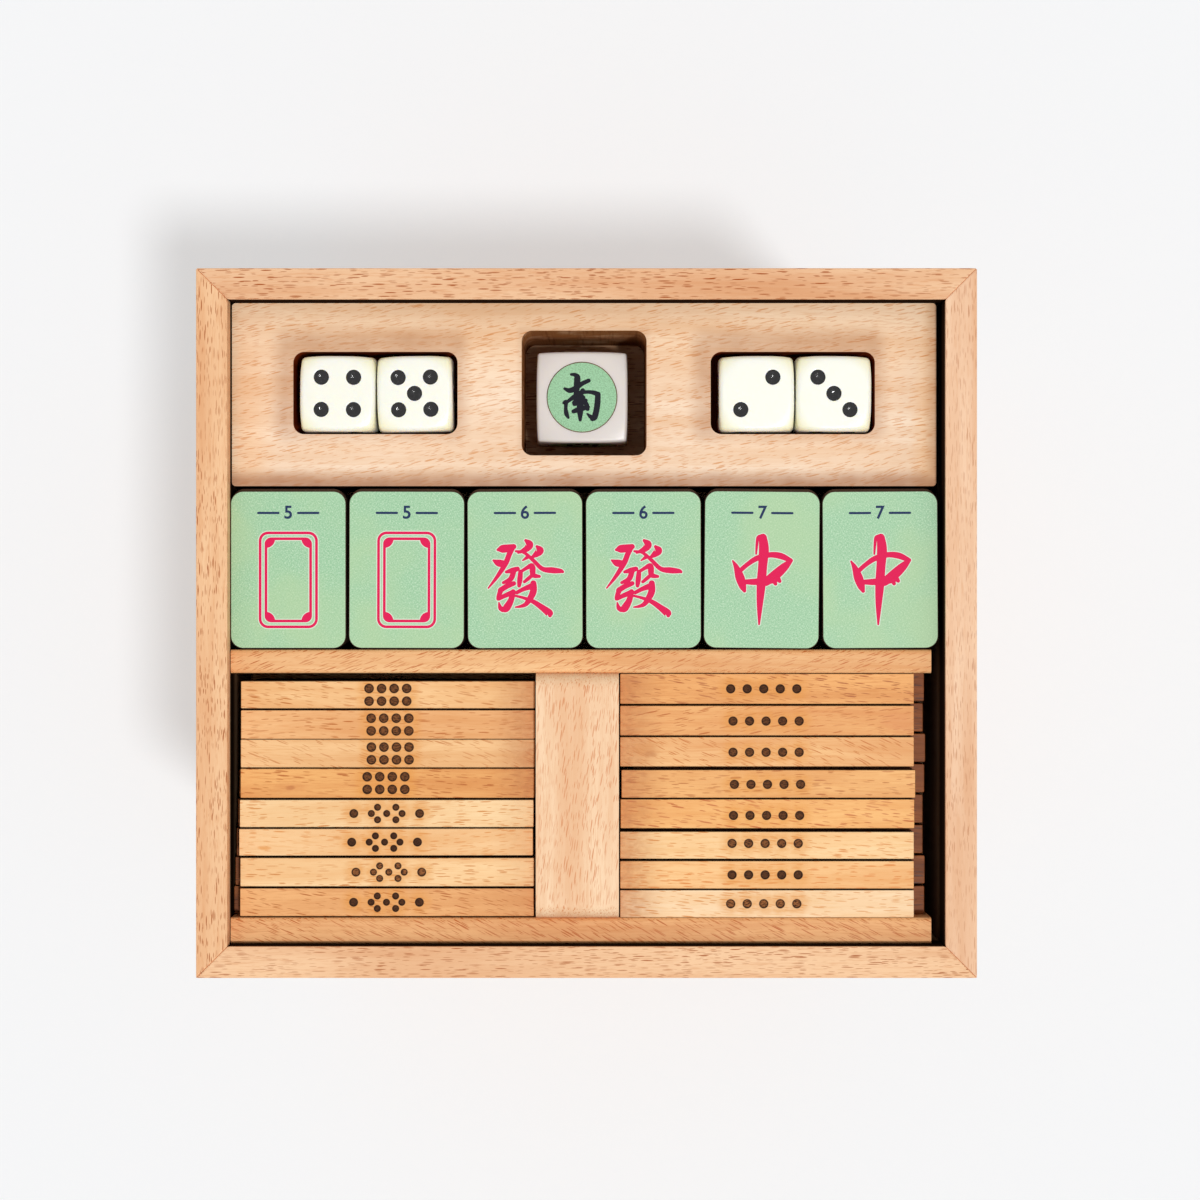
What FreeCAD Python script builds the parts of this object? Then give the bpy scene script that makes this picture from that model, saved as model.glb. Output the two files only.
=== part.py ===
"""A mahjong case: an open accessory compartment over three drawers, all in beech.

Units are millimetres.  +X is the right, +Y the back and +Z up.  The origin is the middle of the
underside.  The tiles, sticks and dice set the size of the compartment, and the case follows it.
"""
import FreeCAD, Part
import Sketcher
import os
import re

doc = FreeCAD.newDocument("mahjong_case")

# The driving dimensions.  Every other length is worked out from these.
SIZES = {
    "wall": 6.6,
    "bottom_thick": 6,
    "shelf_thick": 5,
    "divider_thick": 4,
    "housing": 3,
    "housing_stop": 9,
    "seat_gap": 0.1,
    "tile_width": 24.6,
    "tile_length": 33.5,
    "tile_thick": 19.2,
    "tile_corner": 2.7,
    "lower_tile_corner": 1.6,
    "tile_gap": 0.6,
    "tile_recess": 4.6,
    "side_slack": 0.6,
    "block_depth": 39.1,
    "block_recess": 7,
    "block_play": 1.3,
    "block_gap": 1.16,
    "block_ease": 0.8,
    "die": 16,
    "die_corner_cut": 2.4,
    "die_gap": 0.4,
    "die_shift": 0.6,
    "die_proud": 3,
    "pocket_offset": 44.6,
    "pocket_rise": 0.35,
    "pocket_end_play": 3.1,
    "pocket_side_play": 1.6,
    "pocket_corner": 2.3,
    "wind_die": 20,
    "wind_die_ease": 0.9,
    "disc_diameter": 15,
    "disc_thick": 0.8,
    "window_play": 6.7,
    "tray_gap": 0.24,
    "tray_play": 2.8,
    "tray_base": 4,
    "rear_rail_thick": 5,
    "front_rail_thick": 5.6,
    "rail_recess": 4,
    "rail_ease": 0.8,
    "post_width": 17.6,
    "post_rise": 2.6,
    "post_round": 3.2,
    "post_shift": 0.75,
    "stick_width": 6.05,
    "stick_gap": 0.2,
    "stick_recess": 0.5,
    "stick_play": 3.2,
    "stick_stagger": 2.2,
    "bay_play": 2,
    "drawer_opening": 55,
    "drawer_side_gap": 0.4,
    "drawer_top_gap": 0.8,
    "drawer_back_gap": 1,
    "drawer_front_thick": 8,
    "drawer_board": 4,
    "drawer_lap": 4,
    "drawer_bottom": 3,
    "bottom_rise": 2,
    "groove": 2,
    "notch_radius": 18,
    "notch_depth": 12,
}

TILES_ACROSS = 6
TILE_LAYERS = 2
STICKS_ACROSS = 8
STICK_LAYERS = 6
DRAWERS = ("lower", "middle", "upper")
FINGERS = 5

# Lengths that follow from the driving ones.
WORKED_OUT = {
    "tile_pitch": "tile_width + tile_gap",
    "inner_width": f"{TILES_ACROSS} * tile_pitch + side_slack",
    "bay_depth": f"{STICKS_ACROSS} * (stick_width + stick_gap) + bay_play",
    "tray_depth": "rear_rail_thick + bay_depth + front_rail_thick",
    "inner_depth": "block_depth + block_gap + tile_length + tray_gap + tray_depth + 2 * seat_gap",
    "case_width": "inner_width + 2 * wall",
    "case_depth": "inner_depth + 2 * wall",
    "storey": "drawer_opening + divider_thick",
    "shelf_bottom": f"bottom_thick + {len(DRAWERS)} * storey - divider_thick",
    "shelf_top": "shelf_bottom + shelf_thick",
    "compartment_depth": f"{TILE_LAYERS} * tile_thick + tile_recess",
    "case_height": "shelf_top + compartment_depth",
    "block_width": "inner_width - block_play",
    "block_height": "compartment_depth - block_recess",
    "block_left": "seat_gap - inner_width / 2",
    "block_middle_x": "block_left + block_width / 2",
    "block_middle_y": "inner_depth / 2 - seat_gap - block_depth / 2",
    "pocket_middle_y": "block_middle_y + pocket_rise",
    "pocket_depth": "die - die_proud",
    "tile_front": "seat_gap + tray_depth + tray_gap - inner_depth / 2",
    "tray_left": "2 * seat_gap - inner_width / 2",
    "tray_front": "seat_gap - inner_depth / 2",
    "tray_length": "inner_width - tray_play",
    "bay_front": "tray_front + front_rail_thick",
    "rail_height": "compartment_depth - rail_recess",
    "post_left": "tray_left + (tray_length - post_width) / 2 - post_shift",
    "stick_length": "(tray_length - post_width) / 2 - stick_play",
    "stick_thick": f"(rail_height - stick_recess - tray_base) / {STICK_LAYERS}",
    "drawer_width": "inner_width - 2 * drawer_side_gap",
    "drawer_height": "drawer_opening - drawer_top_gap",
    "drawer_length": "case_depth - wall - drawer_back_gap",
}

sheet = doc.addObject("Spreadsheet::Sheet", "Sizes")
for row, (alias, number) in enumerate(SIZES.items(), start=1):
    sheet.set(f"A{row}", alias)
    sheet.set(f"B{row}", str(number))
    sheet.setAlias(f"B{row}", alias)
doc.recompute()


def written_out(text):
    """The FreeCAD expression for a length written in the words of SIZES and WORKED_OUT."""

    def spell(found):
        word = found.group(0)
        if word in WORKED_OUT:
            return f"({written_out(WORKED_OUT[word])})"
        return f"Sizes.{word}" if word in SIZES else word

    return re.sub(r"[a-z_]+", spell, str(text))


def length_of(text):
    """The present value of a length in millimetres."""
    return float(sheet.evalExpression(written_out(text)))


def bind(piece, properties):
    """Tie each named property of a piece to its length."""
    for name, text in properties.items():
        piece.setExpression(name, written_out(text))


def place(piece, x, y, z):
    bind(piece, {"Placement.Base.x": x, "Placement.Base.y": y, "Placement.Base.z": z})


def board(label, corner, size):
    """A square-edged board, from its lowest corner and its sizes along X, Y and Z."""
    piece = doc.addObject("Part::Box", label)
    bind(piece, dict(zip(("Length", "Width", "Height"), size)))
    place(piece, *corner)
    return piece


def cut_to_fit(label, blank, fitted):
    """A blank with the pieces that fit into it cut out, so that every housing is its board's size."""
    tool = fitted[0]
    if len(fitted) > 1:
        tool = doc.addObject("Part::MultiFuse", f"{label}_fitted")
        tool.Shapes = list(fitted)
    piece = doc.addObject("Part::Cut", label)
    piece.Base = blank
    piece.Tool = tool
    return piece


def together(label, pieces):
    """Several separate solids that are one sub-part."""
    group = doc.addObject("Part::Compound", label)
    group.Links = pieces
    return group


def sketch_on(body, plane, lift):
    """A new sketch on one of the body's own planes, lifted along that plane's normal."""
    sketch = body.newObject("Sketcher::SketchObject", f"{body.Name}_sketch")
    origin_plane = next(f for f in body.Origin.OriginFeatures if f.Role == plane)
    sketch.AttachmentSupport = (origin_plane, [""])
    sketch.MapMode = "FlatFace"
    bind(sketch, {"AttachmentOffset.Base.z": lift})
    return sketch


def outline(body, corners, plane="XY_Plane", lift="0"):
    """A closed outline of straight lines, each corner held by its two lengths from the origin."""
    sketch = sketch_on(body, plane, lift)
    points = [FreeCAD.Vector(length_of(x), length_of(y), 0) for x, y in corners]
    for number, point in enumerate(points):
        following = (number + 1) % len(points)
        sketch.addGeometry(Part.LineSegment(point, points[following]))
    for number in range(len(points)):
        following = (number + 1) % len(points)
        sketch.addConstraint(Sketcher.Constraint("Coincident", number, 2, following, 1))
    for number, (corner, point) in enumerate(zip(corners, points)):
        for way, text, value in (("DistanceX", corner[0], point.x), ("DistanceY", corner[1], point.y)):
            held = sketch.addConstraint(Sketcher.Constraint(way, -1, 1, number, 1, value))
            sketch.setExpression(f"Constraints[{held}]", written_out(text))
    return sketch


def rectangle(body, middle, size, lift="0"):
    """A rectangle about its middle."""
    (x, y), (width, depth) = middle, size
    left, right = f"{x} - ({width}) / 2", f"{x} + ({width}) / 2"
    front, back = f"{y} - ({depth}) / 2", f"{y} + ({depth}) / 2"
    return outline(body, [(left, front), (right, front), (right, back), (left, back)], lift=lift)


def new_body(label):
    body = doc.addObject("PartDesign::Body", label)
    body.Label = label
    return body


def feature(body, kind, sketch, length):
    """A Pad or a Pocket of a sketch; a Pocket cuts against the sketch's normal."""
    made = body.newObject(f"PartDesign::{kind}", f"{body.Name}_{kind.lower()}")
    made.Profile = sketch
    bind(made, {"Length": length})
    doc.recompute()
    return made


def ease_edges(body, kind, size, chosen):
    """A Fillet or a Chamfer of the edges of the body that the test chooses."""
    tip = body.Tip
    names = [f"Edge{n}" for n, edge in enumerate(tip.Shape.Edges, start=1) if chosen(edge)]
    eased = body.newObject(f"PartDesign::{kind}", f"{body.Name}_{kind.lower()}")
    eased.Base = (tip, names)
    bind(eased, {"Radius" if kind == "Fillet" else "Size": size})
    doc.recompute()
    return eased


NEAR = 0.01


def upright(edge):
    box = edge.BoundBox
    return box.ZLength > NEAR and box.XLength < NEAR and box.YLength < NEAR


def any_edge(edge):
    return True


def top_edges_along(body, axis):
    """A test for the body's top edges that run along X or Y."""
    top = body.Tip.Shape.BoundBox.ZMax

    def chosen(edge):
        box = edge.BoundBox
        runs_along = {"x": box.XLength, "y": box.YLength}[axis]
        return box.ZMin > top - NEAR and runs_along > NEAR

    return chosen


subparts = []


def keep(*pieces):
    subparts.extend(pieces)


# The case: four mitred walls round a shelf, two drawer dividers and a bottom.  The front wall is
# only a rail as high as the compartment.  Below it the side walls run on to the front, and the
# dividers lie in housings that stop short of it.

bottom = board(
    "bottom_panel",
    ("-inner_width / 2 - housing", "-case_depth / 2", "0"),
    ("inner_width + 2 * housing", "case_depth - wall + housing", "bottom_thick"),
)
shelf = board(
    "compartment_floor",
    ("-inner_width / 2 - housing", "-inner_depth / 2 - housing", "shelf_bottom"),
    ("inner_width + 2 * housing", "inner_depth + 2 * housing", "shelf_thick"),
)


def make_divider(label, storeys_up):
    """A divider with its front corners cut back to the end of its housings."""
    body = new_body(label)
    narrow = "inner_width / 2"
    wide = "inner_width / 2 + housing"
    front = "-case_depth / 2"
    shoulder = "-case_depth / 2 + housing_stop"
    back = "inner_depth / 2 + housing"
    right_edge = [(narrow, front), (narrow, shoulder), (wide, shoulder), (wide, back)]
    left_edge = [(f"-({x})", y) for x, y in reversed(right_edge)]
    feature(body, "Pad", outline(body, right_edge + left_edge), "divider_thick")
    place(body, "0", "0", f"bottom_thick + {storeys_up} * storey - divider_thick")
    return body


dividers = [make_divider("lower_divider", 1), make_divider("upper_divider", 2)]


def make_mitred_wall(label, outer_length, side, height):
    """A wall mitred at both ends, with its outside at the back (side 1) or the front (side -1)."""
    body = new_body(label)
    outside = f"{side} * case_depth / 2"
    inside = f"{side} * inner_depth / 2"
    half = f"({outer_length}) / 2"
    corners = [(half, outside), (f"{half} - wall", inside), (f"wall - {half}", inside), (f"-{half}", outside)]
    feature(body, "Pad", outline(body, corners), height)
    return body


back_blank = make_mitred_wall("back_wall_blank", "case_width", 1, "case_height")
rail_blank = make_mitred_wall("front_rail_blank", "case_width", -1, "case_height - shelf_bottom")
place(rail_blank, "0", "0", "shelf_bottom")


def make_side_blank(label, side):
    """A side wall mitred at the back and square at the front."""
    body = new_body(label)
    outside = f"{side} * case_width / 2"
    inside = f"{side} * inner_width / 2"
    front = "-case_depth / 2"
    corners = [(outside, front), (inside, front), (inside, "inner_depth / 2"), (outside, "case_depth / 2")]
    feature(body, "Pad", outline(body, corners), "case_height")
    return body


housed = [bottom, shelf] + dividers
keep(bottom, shelf, *dividers)
keep(cut_to_fit("back_wall", back_blank, housed))
keep(cut_to_fit("front_rail", rail_blank, [shelf]))
for label, side in (("left_wall", -1), ("right_wall", 1)):
    side_blank = make_side_blank(f"{label}_blank", side)
    keep(cut_to_fit(label, side_blank, housed + [rail_blank]))


# The drawers: a front that laps over the sides and is scooped for a finger, sides and back with
# finger joints, and a bottom in a groove all round.  A drawer is drawn with the middle of its
# front's lower edge at the origin.

def make_drawer(name, storeys_up):
    level = f"bottom_thick + {storeys_up} * storey"
    front_face = "-case_depth / 2"
    half = "drawer_width / 2"
    rear = "drawer_length - drawer_board"

    base = board(
        f"{name}_drawer_bottom",
        (
            f"drawer_board - groove - {half}",
            f"{front_face} + drawer_front_thick - groove",
            f"{level} + bottom_rise",
        ),
        (
            "drawer_width - 2 * (drawer_board - groove)",
            f"{rear} + 2 * groove - drawer_front_thick",
            "drawer_bottom",
        ),
    )

    def make_side(label, left):
        """A side with a row of fingers at its rear end."""
        body = new_body(f"{label}_blank")
        corners = [("drawer_lap", "drawer_height"), ("drawer_lap", "0")]
        for finger in range(FINGERS):
            end = "drawer_length" if finger % 2 == 0 else rear
            corners.append((end, f"{finger} * drawer_height / {FINGERS}"))
            corners.append((end, f"{finger + 1} * drawer_height / {FINGERS}"))
        feature(body, "Pad", outline(body, corners, plane="YZ_Plane"), "drawer_board")
        place(body, left, front_face, level)
        return body

    side_blanks = [
        make_side(f"{name}_drawer_left_side", f"-{half}"),
        make_side(f"{name}_drawer_right_side", f"{half} - drawer_board"),
    ]
    for blank in side_blanks:
        keep(cut_to_fit(blank.Name.replace("_blank", ""), blank, [base]))

    back_board = board(
        f"{name}_drawer_back_blank",
        (f"-{half}", f"{front_face} + {rear}", level),
        ("drawer_width", "drawer_board", "drawer_height"),
    )
    keep(cut_to_fit(f"{name}_drawer_back", back_board, side_blanks + [base]))

    front = new_body(f"{name}_drawer_front_blank")
    feature(
        front,
        "Pad",
        outline(
            front,
            [(f"-{half}", "0"), (half, "0"), (half, "drawer_height"), (f"-{half}", "drawer_height")],
            plane="XZ_Plane",
            lift="-drawer_front_thick",
        ),
        "drawer_front_thick",
    )
    scoop = sketch_on(front, "XZ_Plane", "-drawer_front_thick")
    centre = FreeCAD.Vector(0, length_of("drawer_height + notch_radius - notch_depth"), 0)
    scoop.addGeometry(Part.Circle(centre, FreeCAD.Vector(0, 0, 1), length_of("notch_radius")))
    scoop.addConstraint(Sketcher.Constraint("PointOnObject", 0, 3, -2))
    rise = scoop.addConstraint(Sketcher.Constraint("DistanceY", -1, 1, 0, 3, centre.y))
    reach = scoop.addConstraint(Sketcher.Constraint("Radius", 0, length_of("notch_radius")))
    bind(
        scoop,
        {
            f"Constraints[{rise}]": "drawer_height + notch_radius - notch_depth",
            f"Constraints[{reach}]": "notch_radius",
        },
    )
    whole = front.Shape.Volume
    cut = feature(front, "Pocket", scoop, "drawer_front_thick")
    cut.Reversed = True
    doc.recompute()
    if front.Shape.Volume > whole - NEAR:
        raise RuntimeError("the finger scoop cuts nothing")
    place(front, "0", front_face, level)
    keep(cut_to_fit(f"{name}_drawer_front", front, side_blanks + [base]))
    keep(base)


for storeys_up, name in enumerate(DRAWERS):
    make_drawer(name, storeys_up)


# The dice block: one thick piece with a pocket for each pair of dice and a window for the wind
# die, which stands on the compartment floor.

block = new_body("dice_block")
feature(block, "Pad", rectangle(block, ("0", "0"), ("block_width", "block_depth")), "block_height")
ease_edges(block, "Fillet", "block_ease", upright)
for middle in ("-pocket_offset", "pocket_offset"):
    pocket = rectangle(
        block,
        (middle, "pocket_rise"),
        ("2 * die + pocket_end_play", "die + pocket_side_play"),
        lift="block_height",
    )
    feature(block, "Pocket", pocket, "pocket_depth")
window_size = "wind_die + window_play"
window = rectangle(block, ("0", "pocket_rise"), (window_size, window_size), lift="block_height")
feature(block, "Pocket", window, "block_height")


def pocket_corner(edge):
    """Whether an edge is an upright one inside the block, and not one of its own four corners."""
    middle = edge.BoundBox.Center
    inside_x = abs(middle.x) < length_of("block_width / 2 - 2 * block_ease")
    inside_y = abs(middle.y) < length_of("block_depth / 2 - 2 * block_ease")
    return upright(edge) and inside_x and inside_y


ease_edges(block, "Fillet", "pocket_corner", pocket_corner)
place(block, "block_middle_x", "block_middle_y", "shelf_top")
keep(block)


# The dice: four ivory ones in pairs, and the white wind die with a printed disc let into four faces.

def make_cube(label, edge_length):
    cube = new_body(label)
    feature(cube, "Pad", rectangle(cube, ("0", "0"), (edge_length, edge_length)), edge_length)
    return cube


def make_die(label, x, y, z):
    """A cube tumbled to a ball, which takes off its corners and its edges."""
    ball = doc.addObject("Part::Sphere", f"{label}_ball")
    bind(ball, {"Radius": "die * sqrt(3) / 2 - die_corner_cut"})
    place(ball, "0", "0", "die / 2")
    die = doc.addObject("Part::Common", label)
    die.Base = make_cube(f"{label}_cube", "die")
    die.Tool = ball
    place(die, x, y, z)
    return die


pocket_floor = "shelf_top + block_height - pocket_depth"
DICE = (
    ("die_1", "-pocket_offset", -1),
    ("die_2", "-pocket_offset", 1),
    ("die_3", "pocket_offset", -1),
    ("die_4", "pocket_offset", 1),
)
for name, pocket_middle, side in DICE:
    x = f"block_middle_x + {pocket_middle} + die_shift + {side} * (die + die_gap) / 2"
    keep(make_die(name, x, "pocket_middle_y", pocket_floor))

wind_die_blank = make_cube("wind_die_blank", "wind_die")
ease_edges(wind_die_blank, "Chamfer", "wind_die_ease", any_edge)
place(wind_die_blank, "block_middle_x", "pocket_middle_y", "shelf_top")
wind_middle = "shelf_top + wind_die / 2"
discs = []
for name, direction, reach in (
    ("top", FreeCAD.Vector(0, 0, 1), ("0", "wind_die / 2 - disc_thick")),
    ("bottom", FreeCAD.Vector(0, 0, -1), ("0", "disc_thick - wind_die / 2")),
    ("back", FreeCAD.Vector(0, 1, 0), ("wind_die / 2 - disc_thick", "0")),
    ("front", FreeCAD.Vector(0, -1, 0), ("disc_thick - wind_die / 2", "0")),
):
    disc = doc.addObject("Part::Cylinder", f"{name}_wind_disc")
    disc.Placement.Rotation = FreeCAD.Rotation(FreeCAD.Vector(0, 0, 1), direction)
    bind(disc, {"Radius": "disc_diameter / 2", "Height": "disc_thick"})
    place(disc, "block_middle_x", f"pocket_middle_y + {reach[0]}", f"{wind_middle} + {reach[1]}")
    discs.append(disc)
keep(cut_to_fit("wind_die", wind_die_blank, discs))
keep(together("wind_discs", discs))


# The tiles: two layers of six, each a thick plate.  The upper six, the dragons, have their corners
# rounded, and the six beneath have them cut off.

def make_tile(label, number, layer, corner_kind, corner_size):
    body = new_body(label)
    feature(body, "Pad", rectangle(body, ("0", "0"), ("tile_width", "tile_length")), "tile_thick")
    ease_edges(body, corner_kind, corner_size, upright)
    middle_x = f"seat_gap - inner_width / 2 + {number} * tile_pitch + tile_width / 2"
    place(body, middle_x, "tile_front + tile_length / 2", f"shelf_top + {layer} * tile_thick")
    return body


DRAGONS = (
    "white_dragon_1",
    "white_dragon_2",
    "green_dragon_1",
    "green_dragon_2",
    "red_dragon_1",
    "red_dragon_2",
)
for number, name in enumerate(DRAGONS):
    keep(make_tile(name, number, 1, "Fillet", "tile_corner"))
lower_layer = []
for number in range(TILES_ACROSS):
    lower_layer.append(make_tile(f"lower_tile_{number + 1}", number, 0, "Chamfer", "lower_tile_corner"))
keep(together("lower_tiles", lower_layer))


# The stick tray: two rails and a grip post on a base between them, lifted out by the post.

tray_floor = board(
    "tray_base",
    ("tray_left", "bay_front", "shelf_top"),
    ("tray_length", "bay_depth", "tray_base"),
)
keep(tray_floor)


def make_rail(label, front, thickness):
    body = new_body(label)
    feature(body, "Pad", rectangle(body, ("0", "0"), ("tray_length", thickness)), "rail_height")
    ease_edges(body, "Fillet", "rail_ease", top_edges_along(body, "x"))
    place(body, "tray_left + tray_length / 2", f"{front} + ({thickness}) / 2", "shelf_top")
    return body


keep(make_rail("front_tray_rail", "tray_front", "front_rail_thick"))
keep(make_rail("rear_tray_rail", "bay_front + bay_depth", "rear_rail_thick"))

post = new_body("grip_post")
post_height = "rail_height + post_rise - tray_base"
feature(post, "Pad", rectangle(post, ("0", "0"), ("post_width", "bay_depth")), post_height)
ease_edges(post, "Fillet", "post_round", top_edges_along(post, "x"))
place(post, "post_left + post_width / 2", "bay_front + bay_depth / 2", "shelf_top + tray_base")
keep(post)


# The counting sticks: six layers of eight in each bay.  The left column lies against the front
# rail, the right one is spread over its bay, and the lower sticks lie a little further out.

def make_stick(label, left, front, layer):
    corner = (left, front, f"shelf_top + tray_base + {layer} * stick_thick")
    return board(label, corner, ("stick_length", "stick_width", "stick_thick"))


def stick_front(number, pitch, first_gap):
    """The front of a stick, counted from the rear of the bay."""
    place_from_front = STICKS_ACROSS - number
    return f"bay_front + {first_gap} + {place_from_front} * ({pitch})"


LEFT_PITCH = "stick_width + stick_gap"
RIGHT_PITCH = f"(bay_depth - stick_width - 2 * seat_gap) / {STICKS_ACROSS - 1}"
for column, pitch, left, outward in (
    ("left", LEFT_PITCH, "post_left - seat_gap - stick_gap - stick_length", -1),
    ("right", RIGHT_PITCH, "post_left + post_width + stick_gap + seat_gap", 1),
):
    lower = []
    for layer in range(STICK_LAYERS):
        top_layer = layer == STICK_LAYERS - 1
        for number in range(1, STICKS_ACROSS + 1):
            front = stick_front(number, pitch, "seat_gap")
            if top_layer:
                keep(make_stick(f"{column}_stick_{number}", left, front, layer))
            else:
                shifted = f"{left} + {outward} * stick_stagger * {number} / {STICKS_ACROSS}"
                lower.append(make_stick(f"{column}_stick_{number}_layer_{layer + 1}", shifted, front, layer))
    keep(together(f"{column}_lower_sticks", lower))


# Check every object, then write each sub-part.

doc.recompute()
for item in doc.Objects:
    if "Invalid" in item.State or "Error" in item.State:
        raise RuntimeError(f"{item.Name} failed: {item.State}")
os.makedirs("parts", exist_ok=True)
for piece in subparts:
    if piece.Shape.isNull() or not piece.Shape.isValid():
        raise RuntimeError(f"{piece.Label} has no valid shape")
for piece in subparts:
    piece.Shape.exportStep(f"parts/{piece.Label}.step")
print(f"{len(subparts)} sub-parts, case {length_of('case_width'):.1f} x {length_of('case_depth'):.1f}"
      f" x {length_of('case_height'):.1f} mm")
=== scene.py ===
import math

import bmesh
import bpy
from mathutils import Matrix, Vector


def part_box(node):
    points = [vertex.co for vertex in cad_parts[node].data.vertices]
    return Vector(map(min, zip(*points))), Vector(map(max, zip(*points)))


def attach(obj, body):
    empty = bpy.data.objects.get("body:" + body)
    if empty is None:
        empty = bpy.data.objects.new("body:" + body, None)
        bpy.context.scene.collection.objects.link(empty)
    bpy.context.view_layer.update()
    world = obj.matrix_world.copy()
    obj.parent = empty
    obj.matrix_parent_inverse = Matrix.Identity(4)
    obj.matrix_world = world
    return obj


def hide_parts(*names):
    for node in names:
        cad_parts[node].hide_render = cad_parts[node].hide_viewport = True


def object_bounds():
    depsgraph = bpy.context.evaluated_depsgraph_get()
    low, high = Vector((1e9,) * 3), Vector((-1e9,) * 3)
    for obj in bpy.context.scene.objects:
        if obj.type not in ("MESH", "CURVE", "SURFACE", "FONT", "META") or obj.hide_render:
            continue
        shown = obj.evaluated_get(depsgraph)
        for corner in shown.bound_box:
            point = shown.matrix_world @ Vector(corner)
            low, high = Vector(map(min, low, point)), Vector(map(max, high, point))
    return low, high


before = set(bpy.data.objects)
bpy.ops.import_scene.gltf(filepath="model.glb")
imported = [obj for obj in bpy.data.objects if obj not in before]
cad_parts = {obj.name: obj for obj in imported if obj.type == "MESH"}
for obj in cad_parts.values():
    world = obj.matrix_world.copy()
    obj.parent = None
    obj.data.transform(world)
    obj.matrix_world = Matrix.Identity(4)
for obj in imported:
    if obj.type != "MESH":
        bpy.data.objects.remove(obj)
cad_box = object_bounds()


# The room: a pale table top under a soft white sky, with one soft lamp to the front right that
# throws the case's shadow to the back left.  The camera looks straight down on the compartment.

MM = 0.001


class Wire:
    """An output of a shader node; arithmetic on it adds Math nodes to the same finish."""

    def __init__(self, finish, socket):
        self.finish = finish
        self.socket = socket

    def of(self, name):
        """Another output of the same node."""
        return Wire(self.finish, self.socket.node.outputs[name])

    def maths(self, operation, first, second=0.0):
        return self.finish.node("ShaderNodeMath", {"operation": operation}, {0: first, 1: second})

    def __add__(self, other):
        return self.maths("ADD", self, other)

    def __radd__(self, other):
        return self.maths("ADD", other, self)

    def __sub__(self, other):
        return self.maths("SUBTRACT", self, other)

    def __rsub__(self, other):
        return self.maths("SUBTRACT", other, self)

    def __mul__(self, other):
        return self.maths("MULTIPLY", self, other)

    def __truediv__(self, other):
        return self.maths("DIVIDE", self, other)

    def __pow__(self, other):
        return self.maths("POWER", self, other)

    def __abs__(self):
        return self.maths("ABSOLUTE", self)

    def below(self, other):
        """1 where this is less than the other, and 0 elsewhere."""
        return self.maths("LESS_THAN", self, other)

    def least(self, other):
        return self.maths("MINIMUM", self, other)

    def most(self, other):
        return self.maths("MAXIMUM", self, other)

    def rise(self, start, end):
        """0 up to start, 1 from end on, and a smooth rise between; start may be the larger."""
        low, high, out_low, out_high = (start, end, 0.0, 1.0) if start < end else (end, start, 1.0, 0.0)
        return self.finish.node(
            "ShaderNodeMapRange",
            {"interpolation_type": "SMOOTHSTEP"},
            {"Value": self, "From Min": low, "From Max": high, "To Min": out_low, "To Max": out_high},
        )


class Finish:
    """The node material of one finish, or the nodes of the sky."""

    def __init__(self, name, sky=None):
        self.material = sky or bpy.data.materials.new(name)
        self.material.use_nodes = True
        self.nodes = self.material.node_tree.nodes
        self.links = self.material.node_tree.links
        self.shader = self.nodes.get("Principled BSDF")

    def node(self, kind, settings, sockets):
        """A new node: its settings are made first, then its sockets' values and links."""
        made = self.nodes.new(kind)
        for name, value in settings.items():
            setattr(made, name, value)
        for name, value in sockets.items():
            self.feed(made.inputs[name], value)
        return Wire(self, next(socket for socket in made.outputs if socket.enabled))

    def feed(self, socket, value):
        if isinstance(value, Wire):
            self.links.new(value.socket, socket)
        else:
            socket.default_value = value

    def surface(self, **sockets):
        """Values and links for the Principled shader's own sockets."""
        for name, value in sockets.items():
            self.feed(self.shader.inputs[name.replace("_", " ")], value)

    def bump(self, height, depth):
        """The normal of a relief of the given depth in millimetres, from a height of 0 to 1."""
        normal = self.node("ShaderNodeBump", {}, {"Height": height, "Distance": depth * MM, "Strength": 1.0})
        self.surface(Normal=normal)

    def place(self):
        """The place on the piece in millimetres, which moves with the piece."""
        metres = self.node("ShaderNodeTexCoord", {}, {}).of("Object")
        return self.node("ShaderNodeVectorMath", {"operation": "SCALE"}, {0: metres, "Scale": 1 / MM})

    def seen(self):
        """1 for what is seen, straight on or in a gloss, and 0 for the light that falls on things."""
        ray = self.node("ShaderNodeLightPath", {}, {})
        return ray.of("Is Camera Ray").most(ray.of("Is Glossy Ray")).most(ray.of("Is Transmission Ray"))

    def apart(self, vector):
        """The X, Y and Z of a vector."""
        parts = self.node("ShaderNodeSeparateXYZ", {}, {0: vector})
        return [parts.of(axis) for axis in "XYZ"]

    def facing(self):
        """The X, Y and Z of the way the surface looks, which turn with the piece."""
        return self.apart(self.node("ShaderNodeTexCoord", {}, {}).of("Normal"))

    def joined(self, x, y, z):
        return self.node("ShaderNodeCombineXYZ", {}, {0: x, 1: y, 2: z})

    def noise(self, at, scale=1.0, detail=2.0, roughness=0.5):
        """A cloudy value about 0.5 over a vector."""
        sockets = {"Vector": at, "Scale": scale, "Detail": detail, "Roughness": roughness}
        return self.node("ShaderNodeTexNoise", {}, sockets)

    def mix(self, first, second, share, way="MIX"):
        """One colour turning into another, as the share goes from 0 to 1."""
        settings = {"data_type": "RGBA", "blend_type": way}
        return self.node("ShaderNodeMix", settings, {0: share, 6: first, 7: second})


def paint(red, green, blue):
    """A colour as seen on a screen, 0 to 255, in the renderer's own linear numbers."""

    def linear(level):
        level /= 255
        return level / 12.92 if level < 0.04045 else ((level + 0.055) / 1.055) ** 2.4

    return (linear(red), linear(green), linear(blue), 1.0)


def placed(name, data):
    """A new object in the scene."""
    thing = bpy.data.objects.new(name, data)
    bpy.context.scene.collection.objects.link(thing)
    return thing


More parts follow.
